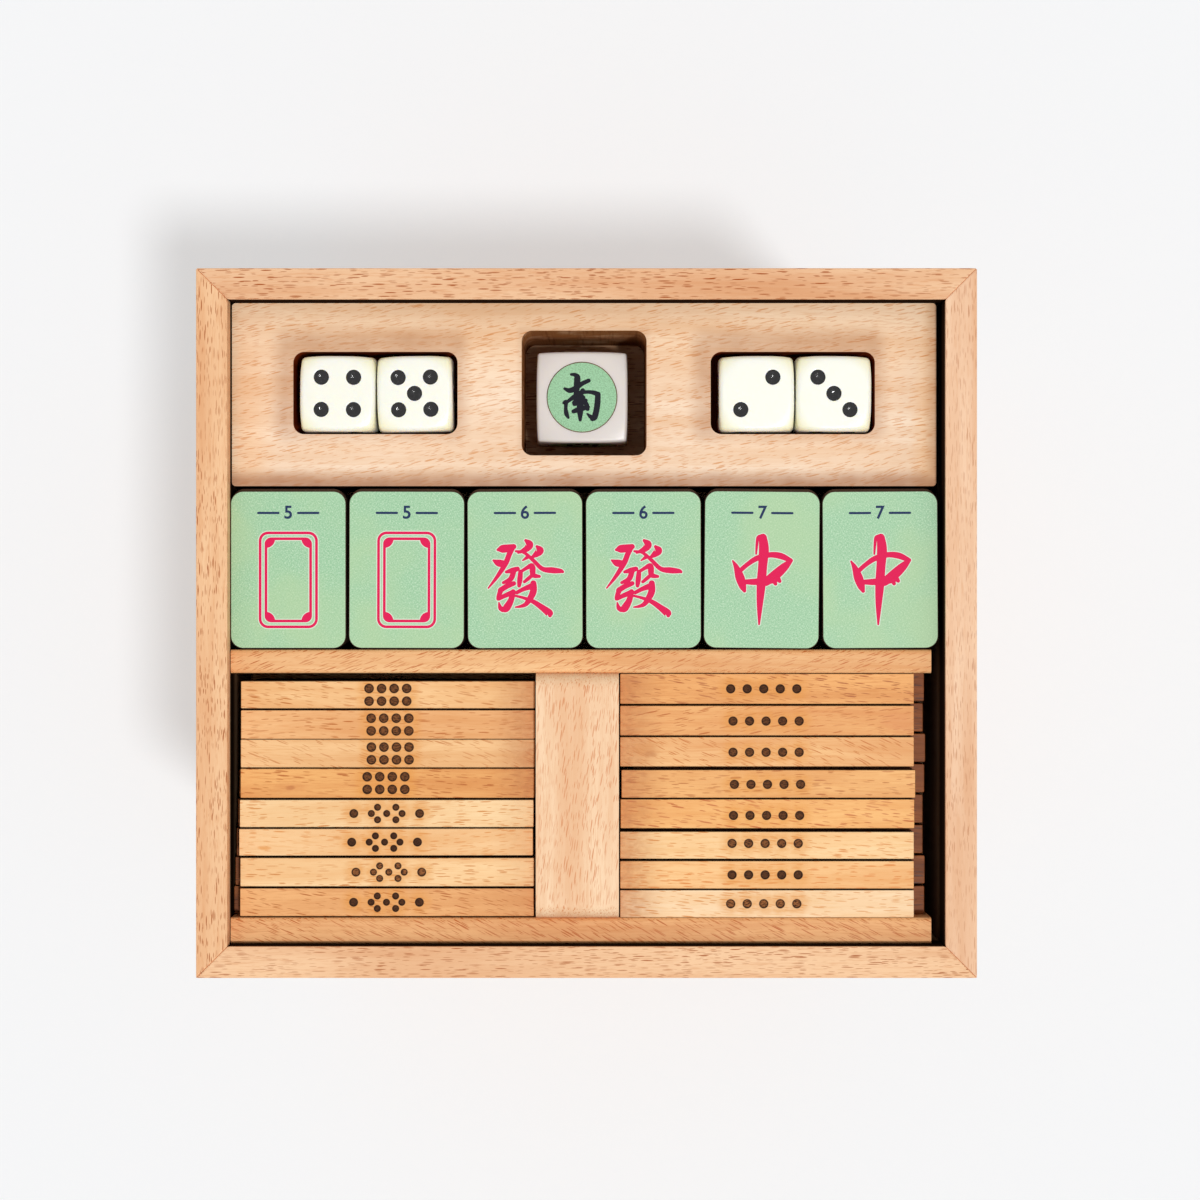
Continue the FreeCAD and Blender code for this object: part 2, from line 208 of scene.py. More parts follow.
TABLE_WHITE = paint(246, 246, 246)
TABLE_TINT = paint(243, 246, 249)
SKY_LEVEL = 0.56
LAMP_LEAN = Vector((0.20, -0.185, 1.0))
LAMP_STRENGTH = 1.52
LAMP_SPREAD = math.radians(5)
GLOW_SHARE = 0.42
TABLE_SIDE = 6.0

table_mesh = bpy.data.meshes.new("table_top")
table_corners = [(TABLE_SIDE / 2 * x, TABLE_SIDE / 2 * y, 0) for x, y in ((-1, -1), (1, -1), (1, 1), (-1, 1))]
table_mesh.from_pydata(table_corners, [], [(0, 1, 2, 3)])
table = placed("table_top", table_mesh)

table_finish = Finish("table_white")
table_finish.surface(Base_Color=TABLE_TINT, Roughness=0.9, Specular_IOR_Level=0.0)
lit = Wire(table_finish, table_finish.shader.outputs[0])
glow = table_finish.node("ShaderNodeEmission", {}, {"Color": TABLE_WHITE, "Strength": 1.0})
blend = table_finish.node("ShaderNodeMixShader", {}, {0: table_finish.seen() * GLOW_SHARE, 1: lit, 2: glow})
table_finish.feed(table_finish.nodes["Material Output"].inputs["Surface"], blend)
table_mesh.materials.append(table_finish.material)

bpy.context.scene.world = bpy.data.worlds.new("soft_sky")
sky = Finish("soft_sky", bpy.context.scene.world)
sky_light = sky.node("ShaderNodeBackground", {}, {"Color": (1, 1, 1, 1), "Strength": SKY_LEVEL})
sky_seen = sky.node("ShaderNodeBackground", {}, {"Color": TABLE_WHITE, "Strength": 1.0})
blend = sky.node("ShaderNodeMixShader", {}, {0: sky.seen(), 1: sky_light, 2: sky_seen})
sky.feed(sky.nodes["World Output"].inputs["Surface"], blend)

lamp_data = bpy.data.lights.new("soft_lamp", "SUN")
lamp_data.energy = LAMP_STRENGTH
lamp_data.angle = LAMP_SPREAD
lamp = placed("soft_lamp", lamp_data)
lamp.rotation_euler = LAMP_LEAN.to_track_quat("Z", "Y").to_euler()

FRAME_WIDTH = 253.5 * MM
CAMERA_ABOVE = 600 * MM
CAMERA_AXIS = (2.85 * MM, 4.86 * MM)
NEAREST_SEEN = 10 * MM
SENSOR = 36

camera_data = bpy.data.cameras.new("camera")
camera_data.sensor_fit = "HORIZONTAL"
camera_data.sensor_width = SENSOR
camera_data.lens = SENSOR * CAMERA_ABOVE / FRAME_WIDTH
camera_data.clip_start = NEAREST_SEEN
camera = placed("camera", camera_data)
camera.location = (*CAMERA_AXIS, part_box("back_wall")[1].z + CAMERA_ABOVE)
bpy.context.scene.camera = camera
bpy.context.scene.view_settings.view_transform = "Standard"


# The case: four beech walls mitred at the corners, standing round a bottom, two dividers and the
# compartment's floor, which are housed in them.  Sawn and sanded beech with its brown flecks,
# left unpolished, with its arrises just broken.

X, Y, Z = 0, 1, 2
RAW_WOOD_GLOSS = 0.22
SAME_PLACE = 0.002
SHARP_CORNER = 40


def beech(
    name, grain, pale, deep, fleck, face,
    fleck_length=2.9, fleck_width=0.27, fleck_share=0.55, fleck_dark=0.95, slant=0.0,
    patch=14.0, seed=0.0, rough=0.52, gloss=RAW_WOOD_GLOSS,
):
    """Beech with its grain along one axis and its flecks lying flat on the face across another."""
    wood = Finish(name)
    at = wood.apart(wood.place())
    side_axis = X + Y + Z - grain - face
    along, side, deepness = at[grain], at[side_axis], at[face]
    wander = wood.noise(wood.joined(along * 0.02 + seed, side * 0.05, deepness * 0.05), detail=1.0)
    side = side + (wander - 0.5) * 5.0

    spread = wood.joined(along / (patch * 5) + seed, side / (patch * 0.7), deepness / patch)
    patches = wood.noise(spread, detail=3.0)
    bands = wood.noise(wood.joined(along / 90 + seed, side / 2.6, deepness / 2.6), detail=3.0, roughness=0.6)
    fibres = wood.noise(wood.joined(along / 5 + seed, side / 0.28, deepness / 0.28), roughness=0.7)
    colour = wood.mix(pale, deep, patches.rise(0.34, 0.70) * 0.62 + bands.rise(0.38, 0.68) * 0.38)
    colour = wood.mix(colour, deep, fibres.rise(0.48, 0.68) * 0.62)

    # Two sizes of fleck, each a thin grain of a Voronoi cell, in the cells that happen to have one.
    strength = 0.0
    tilted = side + along * slant
    for size, share, shift in ((1.0, fleck_share, 0.0), (0.6, fleck_share * 0.9, 31.0)):
        cell = wood.joined(
            along / (fleck_length * 1.7 * size) + seed + shift,
            tilted / (fleck_width * 1.9 * size),
            deepness / (fleck_width * 1.9 * size) + shift,
        )
        spots = wood.node("ShaderNodeTexVoronoi", {}, {"Vector": cell, "Scale": 1.0, "Randomness": 1.0})
        chance, darkness, _ = wood.apart(spots.of("Color"))
        there = chance.below(share)
        core = spots.of("Distance").rise(0.33, 0.22)
        strength = (there * core * (darkness * 0.4 + 0.6)).most(strength)
    fade = wood.noise(wood.joined(along / 26 + seed, side / 4, deepness / 4 + 7)).rise(0.32, 0.6)
    strength = strength * (fade * 0.45 + 0.55) * fleck_dark
    colour = wood.mix(colour, fleck, strength)

    end = abs(wood.facing()[grain]).rise(0.75, 0.95)
    rays = wood.noise(wood.joined(along, side / 0.35, deepness / 1.6), detail=3.0, roughness=0.7)
    rays = rays.rise(0.42, 0.72)
    end_colour = wood.mix(wood.mix(pale, deep, rays), fleck, rays * 0.25 + 0.28)
    colour = wood.mix(colour, end_colour, end * 0.8)

    wood.surface(
        Base_Color=colour,
        Roughness=rough + (fibres - 0.5) * 0.22 - strength * 0.12,
        Specular_IOR_Level=gloss,
    )
    wood.bump(fibres * 0.6 + bands * 0.4 - strength * 0.35, 0.035)
    return wood


def middle_of(node):
    """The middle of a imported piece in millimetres."""
    low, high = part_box(node)
    return (low + high) / 2 / MM


def size_of(node):
    """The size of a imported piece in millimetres."""
    low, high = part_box(node)
    return (high - low) / MM


def refinish(name, finish, arris=0.0):
    """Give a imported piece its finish; to break its arrises, its faces are welded into one skin first."""
    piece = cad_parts[name]
    for slot in piece.material_slots:
        slot.material = finish.material
    if arris:
        weld = piece.modifiers.new("one_skin", "WELD")
        weld.merge_threshold = SAME_PLACE * MM
        bevel = piece.modifiers.new("broken_arrises", "BEVEL")
        bevel.width = arris * MM
        bevel.segments = 2
        bevel.limit_method = "ANGLE"
        bevel.angle_limit = math.radians(SHARP_CORNER)
        bevel.use_clamp_overlap = True


def base_colour(wood):
    """The colour that a wood has so far."""
    return Wire(wood, wood.shader.inputs["Base Color"].links[0].from_socket)


CASE_PALE = paint(249, 210, 169)
CASE_DEEP = paint(219, 160, 112)
CASE_FLECK = paint(168, 78, 20)
CASE_ARRIS = 0.32
PANEL_ARRIS = 0.3
INNER_PAINTED_SHADE = paint(22, 11, 6)
INNER_SHADE_STRENGTH = 0.985
SHADE_ENDS = (49, 43)
SHADE_PAST_RIM = 0.4
case_high = cad_box[1] / MM
wall_thick = size_of("left_wall").x

# Each wall: its grain, its thickness, the seed of its figure, how far below its rim the inside
# is left lit before the painted shade begins, its pale and deep colours, and how dark and how wide
# its flecks are.
WALLS = {
    "back_wall": (X, Y, 3.0, 0.3, paint(244, 201, 161), paint(223, 161, 116), 1.0, 0.25),
    "front_rail": (X, Y, 17.0, 0.3, paint(249, 206, 164), paint(229, 173, 129), 0.88, 0.2),
    "left_wall": (Y, X, 41.0, 4.3, paint(250, 207, 163), paint(229, 170, 123), 0.95, 0.2),
    "right_wall": (Y, X, 67.0, 0.8, paint(251, 214, 181), paint(233, 182, 143), 0.55, 0.19),
}
for name, (grain, face, seed, lit_rim, pale, deep, fleck_dark, fleck_width) in WALLS.items():
    figure = {"fleck_share": 0.62, "fleck_dark": fleck_dark, "fleck_width": fleck_width}
    wood = beech(f"{name}_beech", grain, pale, deep, CASE_FLECK, face, seed=seed, gloss=0.0, **figure)
    x, y, z = wood.apart(wood.place())
    # Painted shade: below a lit strip at the rim, the inner faces of the walls round the compartment are
    # painted nearly black, a little lighter deeper down, as far as the compartment's floor.
    inside_x = abs(x).below(case_high.x - wall_thick + SHADE_PAST_RIM)
    inside_y = abs(y).below(case_high.y - wall_thick + SHADE_PAST_RIM)
    below = case_high.z - z
    painted_shade = inside_x * inside_y * below.rise(lit_rim, lit_rim + 0.9) * (1.0 - below.rise(9, 16) * 0.35)
    painted_shade = painted_shade * below.rise(*SHADE_ENDS)
    wood.surface(Base_Color=wood.mix(base_colour(wood), INNER_PAINTED_SHADE, painted_shade * INNER_SHADE_STRENGTH))
    refinish(name, wood, CASE_ARRIS)

PANELS = {"bottom_panel": 90.0, "lower_divider": 103.0, "upper_divider": 116.0, "compartment_floor": 142.0}
for name, seed in PANELS.items():
    wood = beech(f"{name}_beech", X, CASE_PALE, CASE_DEEP, CASE_FLECK, Z, seed=seed)
    refinish(name, wood, PANEL_ARRIS)


# The three drawers: sawn and sanded beech boards, darker than the case.  The sides are finger
# jointed to the front, the back sits between them in half laps, and the bottom lies in grooves.

DRAWER_PALE = paint(240, 196, 148)
DRAWER_DEEP = paint(218, 160, 108)

# Each board: its grain, its thickness and how far its arrises are broken.
DRAWER_BOARDS = {
    "front": (X, Y, 0.4),
    "left_side": (Y, X, 0.25),
    "right_side": (Y, X, 0.25),
    "back": (X, Y, 0.25),
    "bottom": (X, Z, 0.2),
}
for storey, drawer in enumerate(("lower", "middle", "upper")):
    for number, (board, (grain, face, arris)) in enumerate(DRAWER_BOARDS.items()):
        name = f"{drawer}_drawer_{board}"
        seed = 200 + 37 * storey + 7 * number
        pale, deep = (CASE_PALE, CASE_DEEP) if board == "front" else (DRAWER_PALE, DRAWER_DEEP)
        refinish(name, beech(f"{name}_beech", grain, pale, deep, CASE_FLECK, face, seed=seed), arris)


# The dice block: one thick piece of pale beech, with a pocket for each pair of dice and a window
# right through for the wind die.  A hot beam has cut it out, and has burnt every wall it cut; the
# dark of its outer sides also stands for the shade in the gaps round the block.  Its top carries
# painted shade beside the dice, along its front edge and at its right end.

BLOCK_PALE = paint(255, 230, 204)
BLOCK_DEEP = paint(240, 199, 162)
BLOCK_WARM = (1.0, 0.85, 0.66, 1.0)
BLOCK_FLECK = paint(216, 134, 56)
BLOCK_PAINTED_SHADE = paint(172, 114, 80)
BLOCK_ARRIS = 0.35
SHADE_DRIFT = (1.0, 1.7)
POCKET_RISE = 0.35
POCKET_OFFSET = 44.6
POCKET_HALF = (17.55, 8.8)
WINDOW_HALF = (13.35, 13.35)
BURNT = paint(126, 46, 14)
BURNT_PATCH = paint(134, 62, 28)
SIDE_SCORCH_AND_SHADE = paint(66, 40, 24)
SIDE_PATCH = paint(86, 54, 34)
SIDE_LINE = paint(40, 24, 14)
WINDOW_BURNT = paint(160, 104, 63)
WINDOW_PATCH = paint(190, 142, 106)
WINDOW_LINE = paint(114, 66, 36)

block_low, block_high = (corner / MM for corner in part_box("dice_block"))
block_middle = (block_low + block_high) / 2


def off_opening(x, y, middle_x, half):
    """How far a place is outside an opening of the block, less than 0 inside it."""
    away_x = abs(x - (block_middle.x + middle_x)) - half[0]
    away_y = abs(y - (block_middle.y + POCKET_RISE)) - half[1]
    outside_x = away_x.most(0.0)
    outside_y = away_y.most(0.0)
    return (outside_x * outside_x + outside_y * outside_y) ** 0.5 + away_x.most(away_y).least(0.0)


def burnt_wood(wood, dark, patch, line):
    """The colour of a wall that a hot cutter has burnt, in upright bands and soft paler patches."""
    x, y, z = wood.apart(wood.place())
    smoke = wood.noise(wood.joined(x / 8, y / 8, z / 9), detail=4.0, roughness=0.6).rise(0.46, 0.70)
    upright = wood.noise(wood.joined(x / 0.9, y / 0.9, z / 30), detail=3.0, roughness=0.7).rise(0.48, 0.70)
    return wood.mix(wood.mix(dark, patch, smoke), line, upright * 0.55)


figure = {
    "fleck_length": 2.7, "fleck_width": 0.26, "fleck_share": 0.8, "fleck_dark": 0.7,
    "slant": -0.22, "patch": 11.0,
}
wood = beech("dice_block_beech", X, BLOCK_PALE, BLOCK_DEEP, BLOCK_FLECK, Z, seed=310.0, gloss=0.0, **figure)
x, y, z = wood.apart(wood.place())
# Painted shade on the top: shifted up and to the left of the dice pockets, where the dice standing proud
# throw their shadows, along the front edge beside the taller tiles, at the right end beside the wall, and a
# little round the window.
shade_x, shade_y = x + SHADE_DRIFT[0], y - SHADE_DRIFT[1]
off_left_pocket = off_opening(shade_x, shade_y, -POCKET_OFFSET, POCKET_HALF)
off_pocket = off_left_pocket.least(off_opening(shade_x, shade_y, POCKET_OFFSET, POCKET_HALF))
off_window = off_opening(x, y, 0.0, WINDOW_HALF)
ragged = wood.noise(wood.joined(x / 7, y / 5, z / 5)) * 1.5 + 0.1
# The block is warmer in tone toward its rear and its ends; at the right end this darkening is partly painted
# shade from the right wall.
rear_warmth = y.rise(block_middle.y - 4, block_high.y - 5) * 0.5
left_warmth = x.rise(block_low.x + 11, block_low.x + 3) * 0.55
right_warmth_and_shade = x.rise(block_high.x - 7, block_high.x - 1) * 0.75
warmth = rear_warmth.most(left_warmth).most(right_warmth_and_shade) * (ragged * 0.4 + 0.68)
colour = wood.mix(base_colour(wood), BLOCK_WARM, warmth, "MULTIPLY")
edge_shade = (y - block_low.y).rise(4.4, 0.9).most((block_high.x - x).rise(3.5, 0.0) * 0.6)
# The mask below is this painted shade, not smoke.
smoke = (off_pocket.rise(5.0, 0.5) * 0.6).most(off_window.rise(1.6, 0.0) * 0.25).most(edge_shade)
colour = wood.mix(colour, BLOCK_PAINTED_SHADE, smoke * (ragged * 0.5 + 0.35) * 0.85)
# Below the top, the outer sides are scorched dark, dark enough to be painted shade for the gaps round the
# block as well; the walls of the pockets are burnt.
below_top = z.rise(block_high.z - 0.2, block_high.z - 0.5)
scorched_and_shaded_sides = burnt_wood(wood, SIDE_SCORCH_AND_SHADE, SIDE_PATCH, SIDE_LINE)
in_pocket = abs(abs(x - block_middle.x) - POCKET_OFFSET).below(POCKET_HALF[0] + 1.0)
in_pocket = in_pocket * abs(y - block_middle.y - POCKET_RISE).below(POCKET_HALF[1] + 1.0)
below_colour = wood.mix(scorched_and_shaded_sides, burnt_wood(wood, BURNT, BURNT_PATCH, BURNT), in_pocket)
colour = wood.mix(colour, below_colour, below_top)
window_colour = burnt_wood(wood, WINDOW_BURNT, WINDOW_PATCH, WINDOW_LINE)
in_window = off_window.below(1.0) * z.below(block_high.z - 0.3)
colour = wood.mix(colour, window_colour, in_window)
wood.surface(Base_Color=colour)
refinish("dice_block", wood, BLOCK_ARRIS)


# The four dice: ivory plastic, moulded and then tumbled till the corners and the edges are gone,
# with dished pips filled in gloss black.  Each lies loose in its pocket, so they are a little askew.

IVORY = paint(255, 254, 236)
IVORY_PAINTED_EDGE_LIGHT = paint(255, 246, 205)
PIP_BLACK = paint(12, 11, 12)
PIP_SHEEN = paint(40, 38, 40)
PIP_RADIUS = 1.63
PIP_DEPTH = 0.55
PIP_STEP = 3.43
DIE_FLAT = 7.15
DIE_EASE = 0.85
DIE_CROWN = 0.045
MILKY_DEPTH = 3.5
DIE_MILK = 0.55
DICE_SHIFT = Vector((-0.25, -0.3, 0))
PIPS = {
    1: [(0, 0)],
    2: [(1, 1), (-1, -1)],
    3: [(-1, 1), (0, 0), (1, -1)],
    4: [(-1, 1), (1, 1), (-1, -1), (1, -1)],
    5: [(-1, 1), (1, 1), (0, 0), (-1, -1), (1, -1)],
    6: [(-1, 1), (1, 1), (-1, 0), (1, 0), (-1, -1), (1, -1)],
}

# Each die: the number on its top, the number on its front, and how far it is turned.
DICE = {"die_1": (4, 2, -0.3), "die_2": (5, 1, 0.9), "die_3": (2, 3, 0.3), "die_4": (3, 5, -0.4)}
UP = Vector((0, 0, 1))


def mesh_of(name, shape, finishes):
    """A mesh with its finishes from a shape in millimetres, which is used up."""
    mesh = bpy.data.meshes.new(name)
    shape.transform(Matrix.Scale(MM, 4))
    shape.to_mesh(mesh)
    shape.free()
    for finish in finishes:
        mesh.materials.append(finish.material)
    return mesh


def finished_mesh(thing):
    """The mesh of an object with its modifiers carried out."""
    bpy.context.view_layer.update()
    return bpy.data.meshes.new_from_object(thing.evaluated_get(bpy.context.evaluated_depsgraph_get()))


def new_piece(name, shape, middle, finishes, body, turn=0.0):
    """A piece from a shape about its own middle, riding on a body of the model."""
    piece = placed(name, mesh_of(name, shape, finishes))
    piece.location = middle * MM
    piece.rotation_euler.z = math.radians(turn)
    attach(piece, body)
    return piece


def cut_away(piece, shape, finish):
    """Cut a shape, in the piece's own millimetres, out of it; the cut takes the finish given."""
    tool_mesh = mesh_of(f"{piece.name}_cutter", shape, [finish])
    tool = placed(tool_mesh.name, tool_mesh)
    tool.matrix_world = piece.matrix_world
    cut = piece.modifiers.new("cut", "BOOLEAN")
    cut.operation = "DIFFERENCE"
    cut.solver = "EXACT"
    cut.material_mode = "TRANSFER"
    cut.object = tool
    whole = piece.data
    cut_mesh = finished_mesh(piece)
    piece.modifiers.clear()
    piece.data = cut_mesh
    bpy.data.meshes.remove(whole)
    bpy.data.objects.remove(tool)
    cut_mesh.name = piece.name


def shade_round(piece, corner=38):
    """Smooth shading that breaks only at sharp corners."""
    piece.data.shade_smooth()
    piece.data.set_sharp_from_angle(angle=math.radians(corner))


def moulded_cube(edge, flat, ease, crown, cuts=46):
    """A cube with eased edges, whose faces fall away a little outside a flat circle."""
    half = edge / 2
    shape = bmesh.new()
    bmesh.ops.create_cube(shape, size=2.0)
    bmesh.ops.subdivide_edges(shape, edges=shape.edges[:], cuts=cuts, use_grid_fill=True)
    for vertex in shape.verts:
        spread = Vector([math.sin(c * math.pi / 2) for c in vertex.co]) * half
        core = Vector([max(min(c, half - ease), ease - half) for c in spread])
        eased = core + (spread - core).normalized() * ease
        for axis in (X, Y, Z):
            level = eased[axis]
            off_middle = (eased.length_squared - level * level) ** 0.5
            fall = crown * max(off_middle - flat, 0) ** 2
            vertex.co[axis] = level - math.copysign(fall, level) * abs(level / half) ** 8
    return shape


def turned_to(direction):
    """The turn that takes +Z to one of the six ways out of a cube."""
    return UP.rotation_difference(Vector(direction)).to_matrix().to_4x4()


def numbers_on(top, front):
    """The number on each face, by the way it looks; opposite faces add up to seven."""
    right = next(n for n in range(1, 7) if n not in (top, 7 - top, front, 7 - front))
    return {
        (0, 0, 1): top,
        (0, 0, -1): 7 - top,
        (0, -1, 0): front,
        (0, 1, 0): 7 - front,
        (1, 0, 0): right,
        (-1, 0, 0): 7 - right,
    }


def add_copy(shape, part, at):
    """Add a copy of one bmesh, moved to a place, to another."""
    copied = bpy.data.meshes.new("copied")
    part.to_mesh(copied)
    copied.transform(at)
    shape.from_mesh(copied)
    bpy.data.meshes.remove(copied)


def pip_cutters(edge, top, front):
    """A shallow round bowl for every pip of a die."""
    bowl_radius = (PIP_RADIUS ** 2 + PIP_DEPTH ** 2) / (2 * PIP_DEPTH)
    rise = edge / 2 + bowl_radius - PIP_DEPTH
    bowl = bmesh.new()
    bmesh.ops.create_uvsphere(bowl, u_segments=32, v_segments=24, radius=bowl_radius)
    shape = bmesh.new()
    for way, number in numbers_on(top, front).items():
        for across, up in PIPS[number]:
            at = Matrix.Translation((across * PIP_STEP, up * PIP_STEP, rise))
            add_copy(shape, bowl, turned_to(way) @ at)
    bowl.free()
    return shape


def moulded_plastic(name, body_colour, painted_edge_light, flat, milk):
    """Milky moulded plastic, its colour changed where the form turns away at its edges as painted light."""
    plastic = Finish(name)
    x, y, z = plastic.apart(plastic.place())
    highest = abs(x).most(abs(y)).most(abs(z))
    off_face = (x * x + y * y + z * z - highest * highest) ** 0.5
    # Painted light: the colour at the turning edges stands for the glow and fall-off of light there.
    turning = off_face.rise(flat * 0.98, flat * 1.45)
    cloud = plastic.noise(plastic.place(), scale=0.16)
    grain = plastic.noise(plastic.place(), scale=1.5, detail=3.0)
    colour = plastic.mix(body_colour, painted_edge_light, turning * 0.9 + (cloud - 0.5) * 0.25)
    plastic.surface(
        Base_Color=colour,
        Roughness=0.33 + (grain - 0.5) * 0.12,
        Coat_Weight=0.04 + grain * 0.04,
        Subsurface_Weight=milk,
        Subsurface_Radius=(0.9, 0.8, 0.55),
        Subsurface_Scale=MILKY_DEPTH * MM,
    )
    plastic.bump(grain, 0.012)
    return plastic


die_ivory = moulded_plastic("die_ivory", IVORY, IVORY_PAINTED_EDGE_LIGHT, DIE_FLAT, DIE_MILK)
pip_black = Finish("pip_black")
pip_grain = pip_black.noise(pip_black.place(), scale=2.4, detail=3.0)
pip_black.surface(
    Base_Color=pip_black.mix(PIP_BLACK, PIP_SHEEN, pip_grain.rise(0.48, 0.75)),
    Roughness=0.05 + pip_grain * 0.16,
)
pip_black.bump(pip_grain, 0.06)

for name, (top, front, turn) in DICE.items():
    edge = size_of(name).z
    shape = moulded_cube(edge, DIE_FLAT, DIE_EASE, DIE_CROWN)
    middle = middle_of(name) + DICE_SHIFT
    die = new_piece(f"{name}_ivory", shape, middle, [die_ivory], name, turn)
    cut_away(die, pip_cutters(edge, top, front), pip_black)
    shade_round(die)
    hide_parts(name)


# The wind die: a larger die of white plastic with no pips.  A printed disc is let into four of its
# faces, each with the sign of one wind in dark ink, and the other two are plain.

WIND_WHITE = paint(255, 248, 240)
WIND_PAINTED_EDGE_LIGHT = paint(250, 245, 238)
DISC_GREEN = paint(181, 238, 193)
DISC_SHADE = paint(148, 208, 158)
DISC_PALE = paint(196, 232, 200)
DISC_RIM = paint(184, 150, 112)
DISC_RIM_DARK = paint(140, 102, 72)
WIND_FLAT = 8.8
WIND_EASE = 0.6
WIND_CROWN = 0.014
WIND_MILK = 0.3
WIND_SHIFT = Vector((-0.55, 0.25, 0))
DISC_RADIUS = 7.65
DISC_THICK = 0.8
DISC_SINK = 0.04
DISC_GAP = 0.12
DISC_EASE = 0.08
RECESS_RISE = 1
RECESS_EASE = 0.01
INK = paint(14, 14, 30)
INK_FADED = paint(38, 40, 62)
SIGN_HEIGHT = 10.4
SIGN_LIFT = 0.006
SIGN_GRID = 100
STROKE_STEP = 0.0016
THINNEST = 0.02
BRUSH_FULLNESS = 1.1
WIND_FULLNESS = 1.8
PRINT_GLOSS = 0.18

# Each sign: how wide it is for its height, and its strokes, with the width of each at its points.
WIND_SIGNS = {
    "south": (0.78, [
        [(3, 68, 4), (17, 64, 9), (33, 69, 10), (49, 78, 8), (68, 85, 7)],
        [(21, 98, 4), (31, 97, 7), (37, 91, 12), (36, 76, 11), (35, 60, 10), (31, 48, 7)],
        [(1, 38, 5), (7, 40, 7), (6, 27, 6), (8, 15, 8), (13, 7, 4)],
        [(10, 40, 5), (29, 51, 8), (47, 59, 7), (66, 61, 6), (84, 59, 8), (93, 55, 10)],
        [(93, 56, 10), (92, 39, 11), (89, 22, 11), (84, 8, 11), (78, 4, 8)],
        [(82, 5, 8), (73, 9, 7), (64, 15, 2)],
        [(52, 64, 8), (40, 50, 9), (27, 38, 5)],
        [(43, 56, 6), (53, 49, 8), (51, 43, 5)],
        [(29, 35, 6), (45, 39, 9), (60, 43, 7)],
        [(27, 20, 7), (45, 25, 10), (66, 29, 7)],
        [(55, 45, 6), (62, 34, 9), (65, 25, 7)],
        [(46, 49, 8), (45, 27, 13), (45, 2, 5)],
    ]),
    "west": (0.84, [
        [(8, 86, 9), (48, 89, 9), (92, 91, 7)],
        [(17, 62, 9), (18, 34, 11), (17, 8, 7)],
        [(17, 61, 8), (50, 64, 9), (82, 65, 12), (84, 60, 12), (82, 32, 11), (82, 8, 7)],
        [(40, 88, 9), (39, 62, 9), (27, 40, 4)],
        [(60, 89, 9), (59, 58, 11), (62, 48, 9), (77, 47, 5)],
        [(18, 14, 8), (50, 16, 9), (82, 16, 8)],
    ]),
    "east": (0.86, [
        [(12, 82, 9), (50, 85, 9), (88, 86, 7)],
        [(26, 70, 9), (26, 54, 9), (27, 38, 8)],
        [(26, 69, 8), (52, 71, 9), (74, 72, 11), (75, 56, 9), (74, 38, 8)],
        [(27, 55, 7), (50, 57, 8), (73, 57, 7)],
        [(27, 41, 7), (50, 42, 8), (74, 42, 7)],
        [(50, 100, 11), (50, 60, 11), (49, 22, 12), (50, 0, 7)],
        [(47, 38, 9), (31, 18, 9), (6, 5, 3)],
        [(53, 38, 7), (70, 18, 12), (95, 4, 5)],
    ]),
    "north": (0.90, [
        [(6, 62, 8), (22, 65, 9), (38, 68, 8)],
        [(38, 94, 11), (38, 52, 11), (37, 6, 7)],
        [(4, 20, 7), (20, 27, 11), (38, 36, 5)],
        [(90, 76, 5), (76, 66, 9), (64, 56, 7)],
        [(62, 96, 11), (61, 56, 11), (62, 20, 12), (70, 11, 12), (86, 11, 12), (92, 16, 11), (92, 28, 4)],
    ]),
}


def along_a_curve(points, steps=7):
    """A smooth line through the points, each with its width as a third number."""
    line = []
    for index in range(len(points) - 1):
        reach = (max(index - 1, 0), index, index + 1, min(index + 2, len(points) - 1))
        near = [points[place] for place in reach]
        for step in range(steps + (index == len(points) - 2)):
            t = step / steps
            weights = (
                (2 - t) * t * t / 2 - t / 2,
                1 + t * t * (3 * t - 5) / 2,
                t / 2 + t * t * (4 - 3 * t) / 2,
                t * t * (t - 1) / 2,
            )
            line.append([sum(w * p[k] for w, p in zip(weights, near)) for k in range(3)])
    return line


def brush_stroke(shape, points, lift, spread=0.0, caps=8):
    """One flat stroke of a brush with round ends, at a small height above the face."""

    def reach(width):
        return max(width, THINNEST) / 2 + spread

    def round_end(end, behind):
        x, y, width = end
        heading = math.atan2(y - behind[1], x - behind[0])
        turns = [heading + math.pi * (0.5 - step / caps) for step in range(1, caps)]
        return [(x + math.cos(turn) * reach(width), y + math.sin(turn) * reach(width)) for turn in turns]

    line = along_a_curve(points)
    left, right = [], []
    for index, (x, y, width) in enumerate(line):
        back = line[max(index - 1, 0)]
        ahead = line[min(index + 1, len(line) - 1)]
        heading = math.atan2(ahead[1] - back[1], ahead[0] - back[0])
        side_x, side_y = -math.sin(heading) * reach(width), math.cos(heading) * reach(width)
        left.append((x + side_x, y + side_y))
        right.append((x - side_x, y - side_y))
    rim = left + round_end(line[-1], line[-2]) + right[::-1] + round_end(line[0], line[1])
    shape.faces.new([shape.verts.new((x, y, lift)) for x, y in rim])


def sign(shape, strokes, height, aspect, lift, spread=0.0, fullness=BRUSH_FULLNESS):
    """A brushed sign about the origin, drawn on a square grid."""
    scale = height / SIGN_GRID
    middle = SIGN_GRID / 2
    for number, stroke in enumerate(strokes):
        drawn = []
        for x, y, width in stroke:
            drawn.append(((x - middle) * scale * aspect, (y - middle) * scale, (width + fullness) * scale))
        brush_stroke(shape, drawn, lift + number * STROKE_STEP, spread)


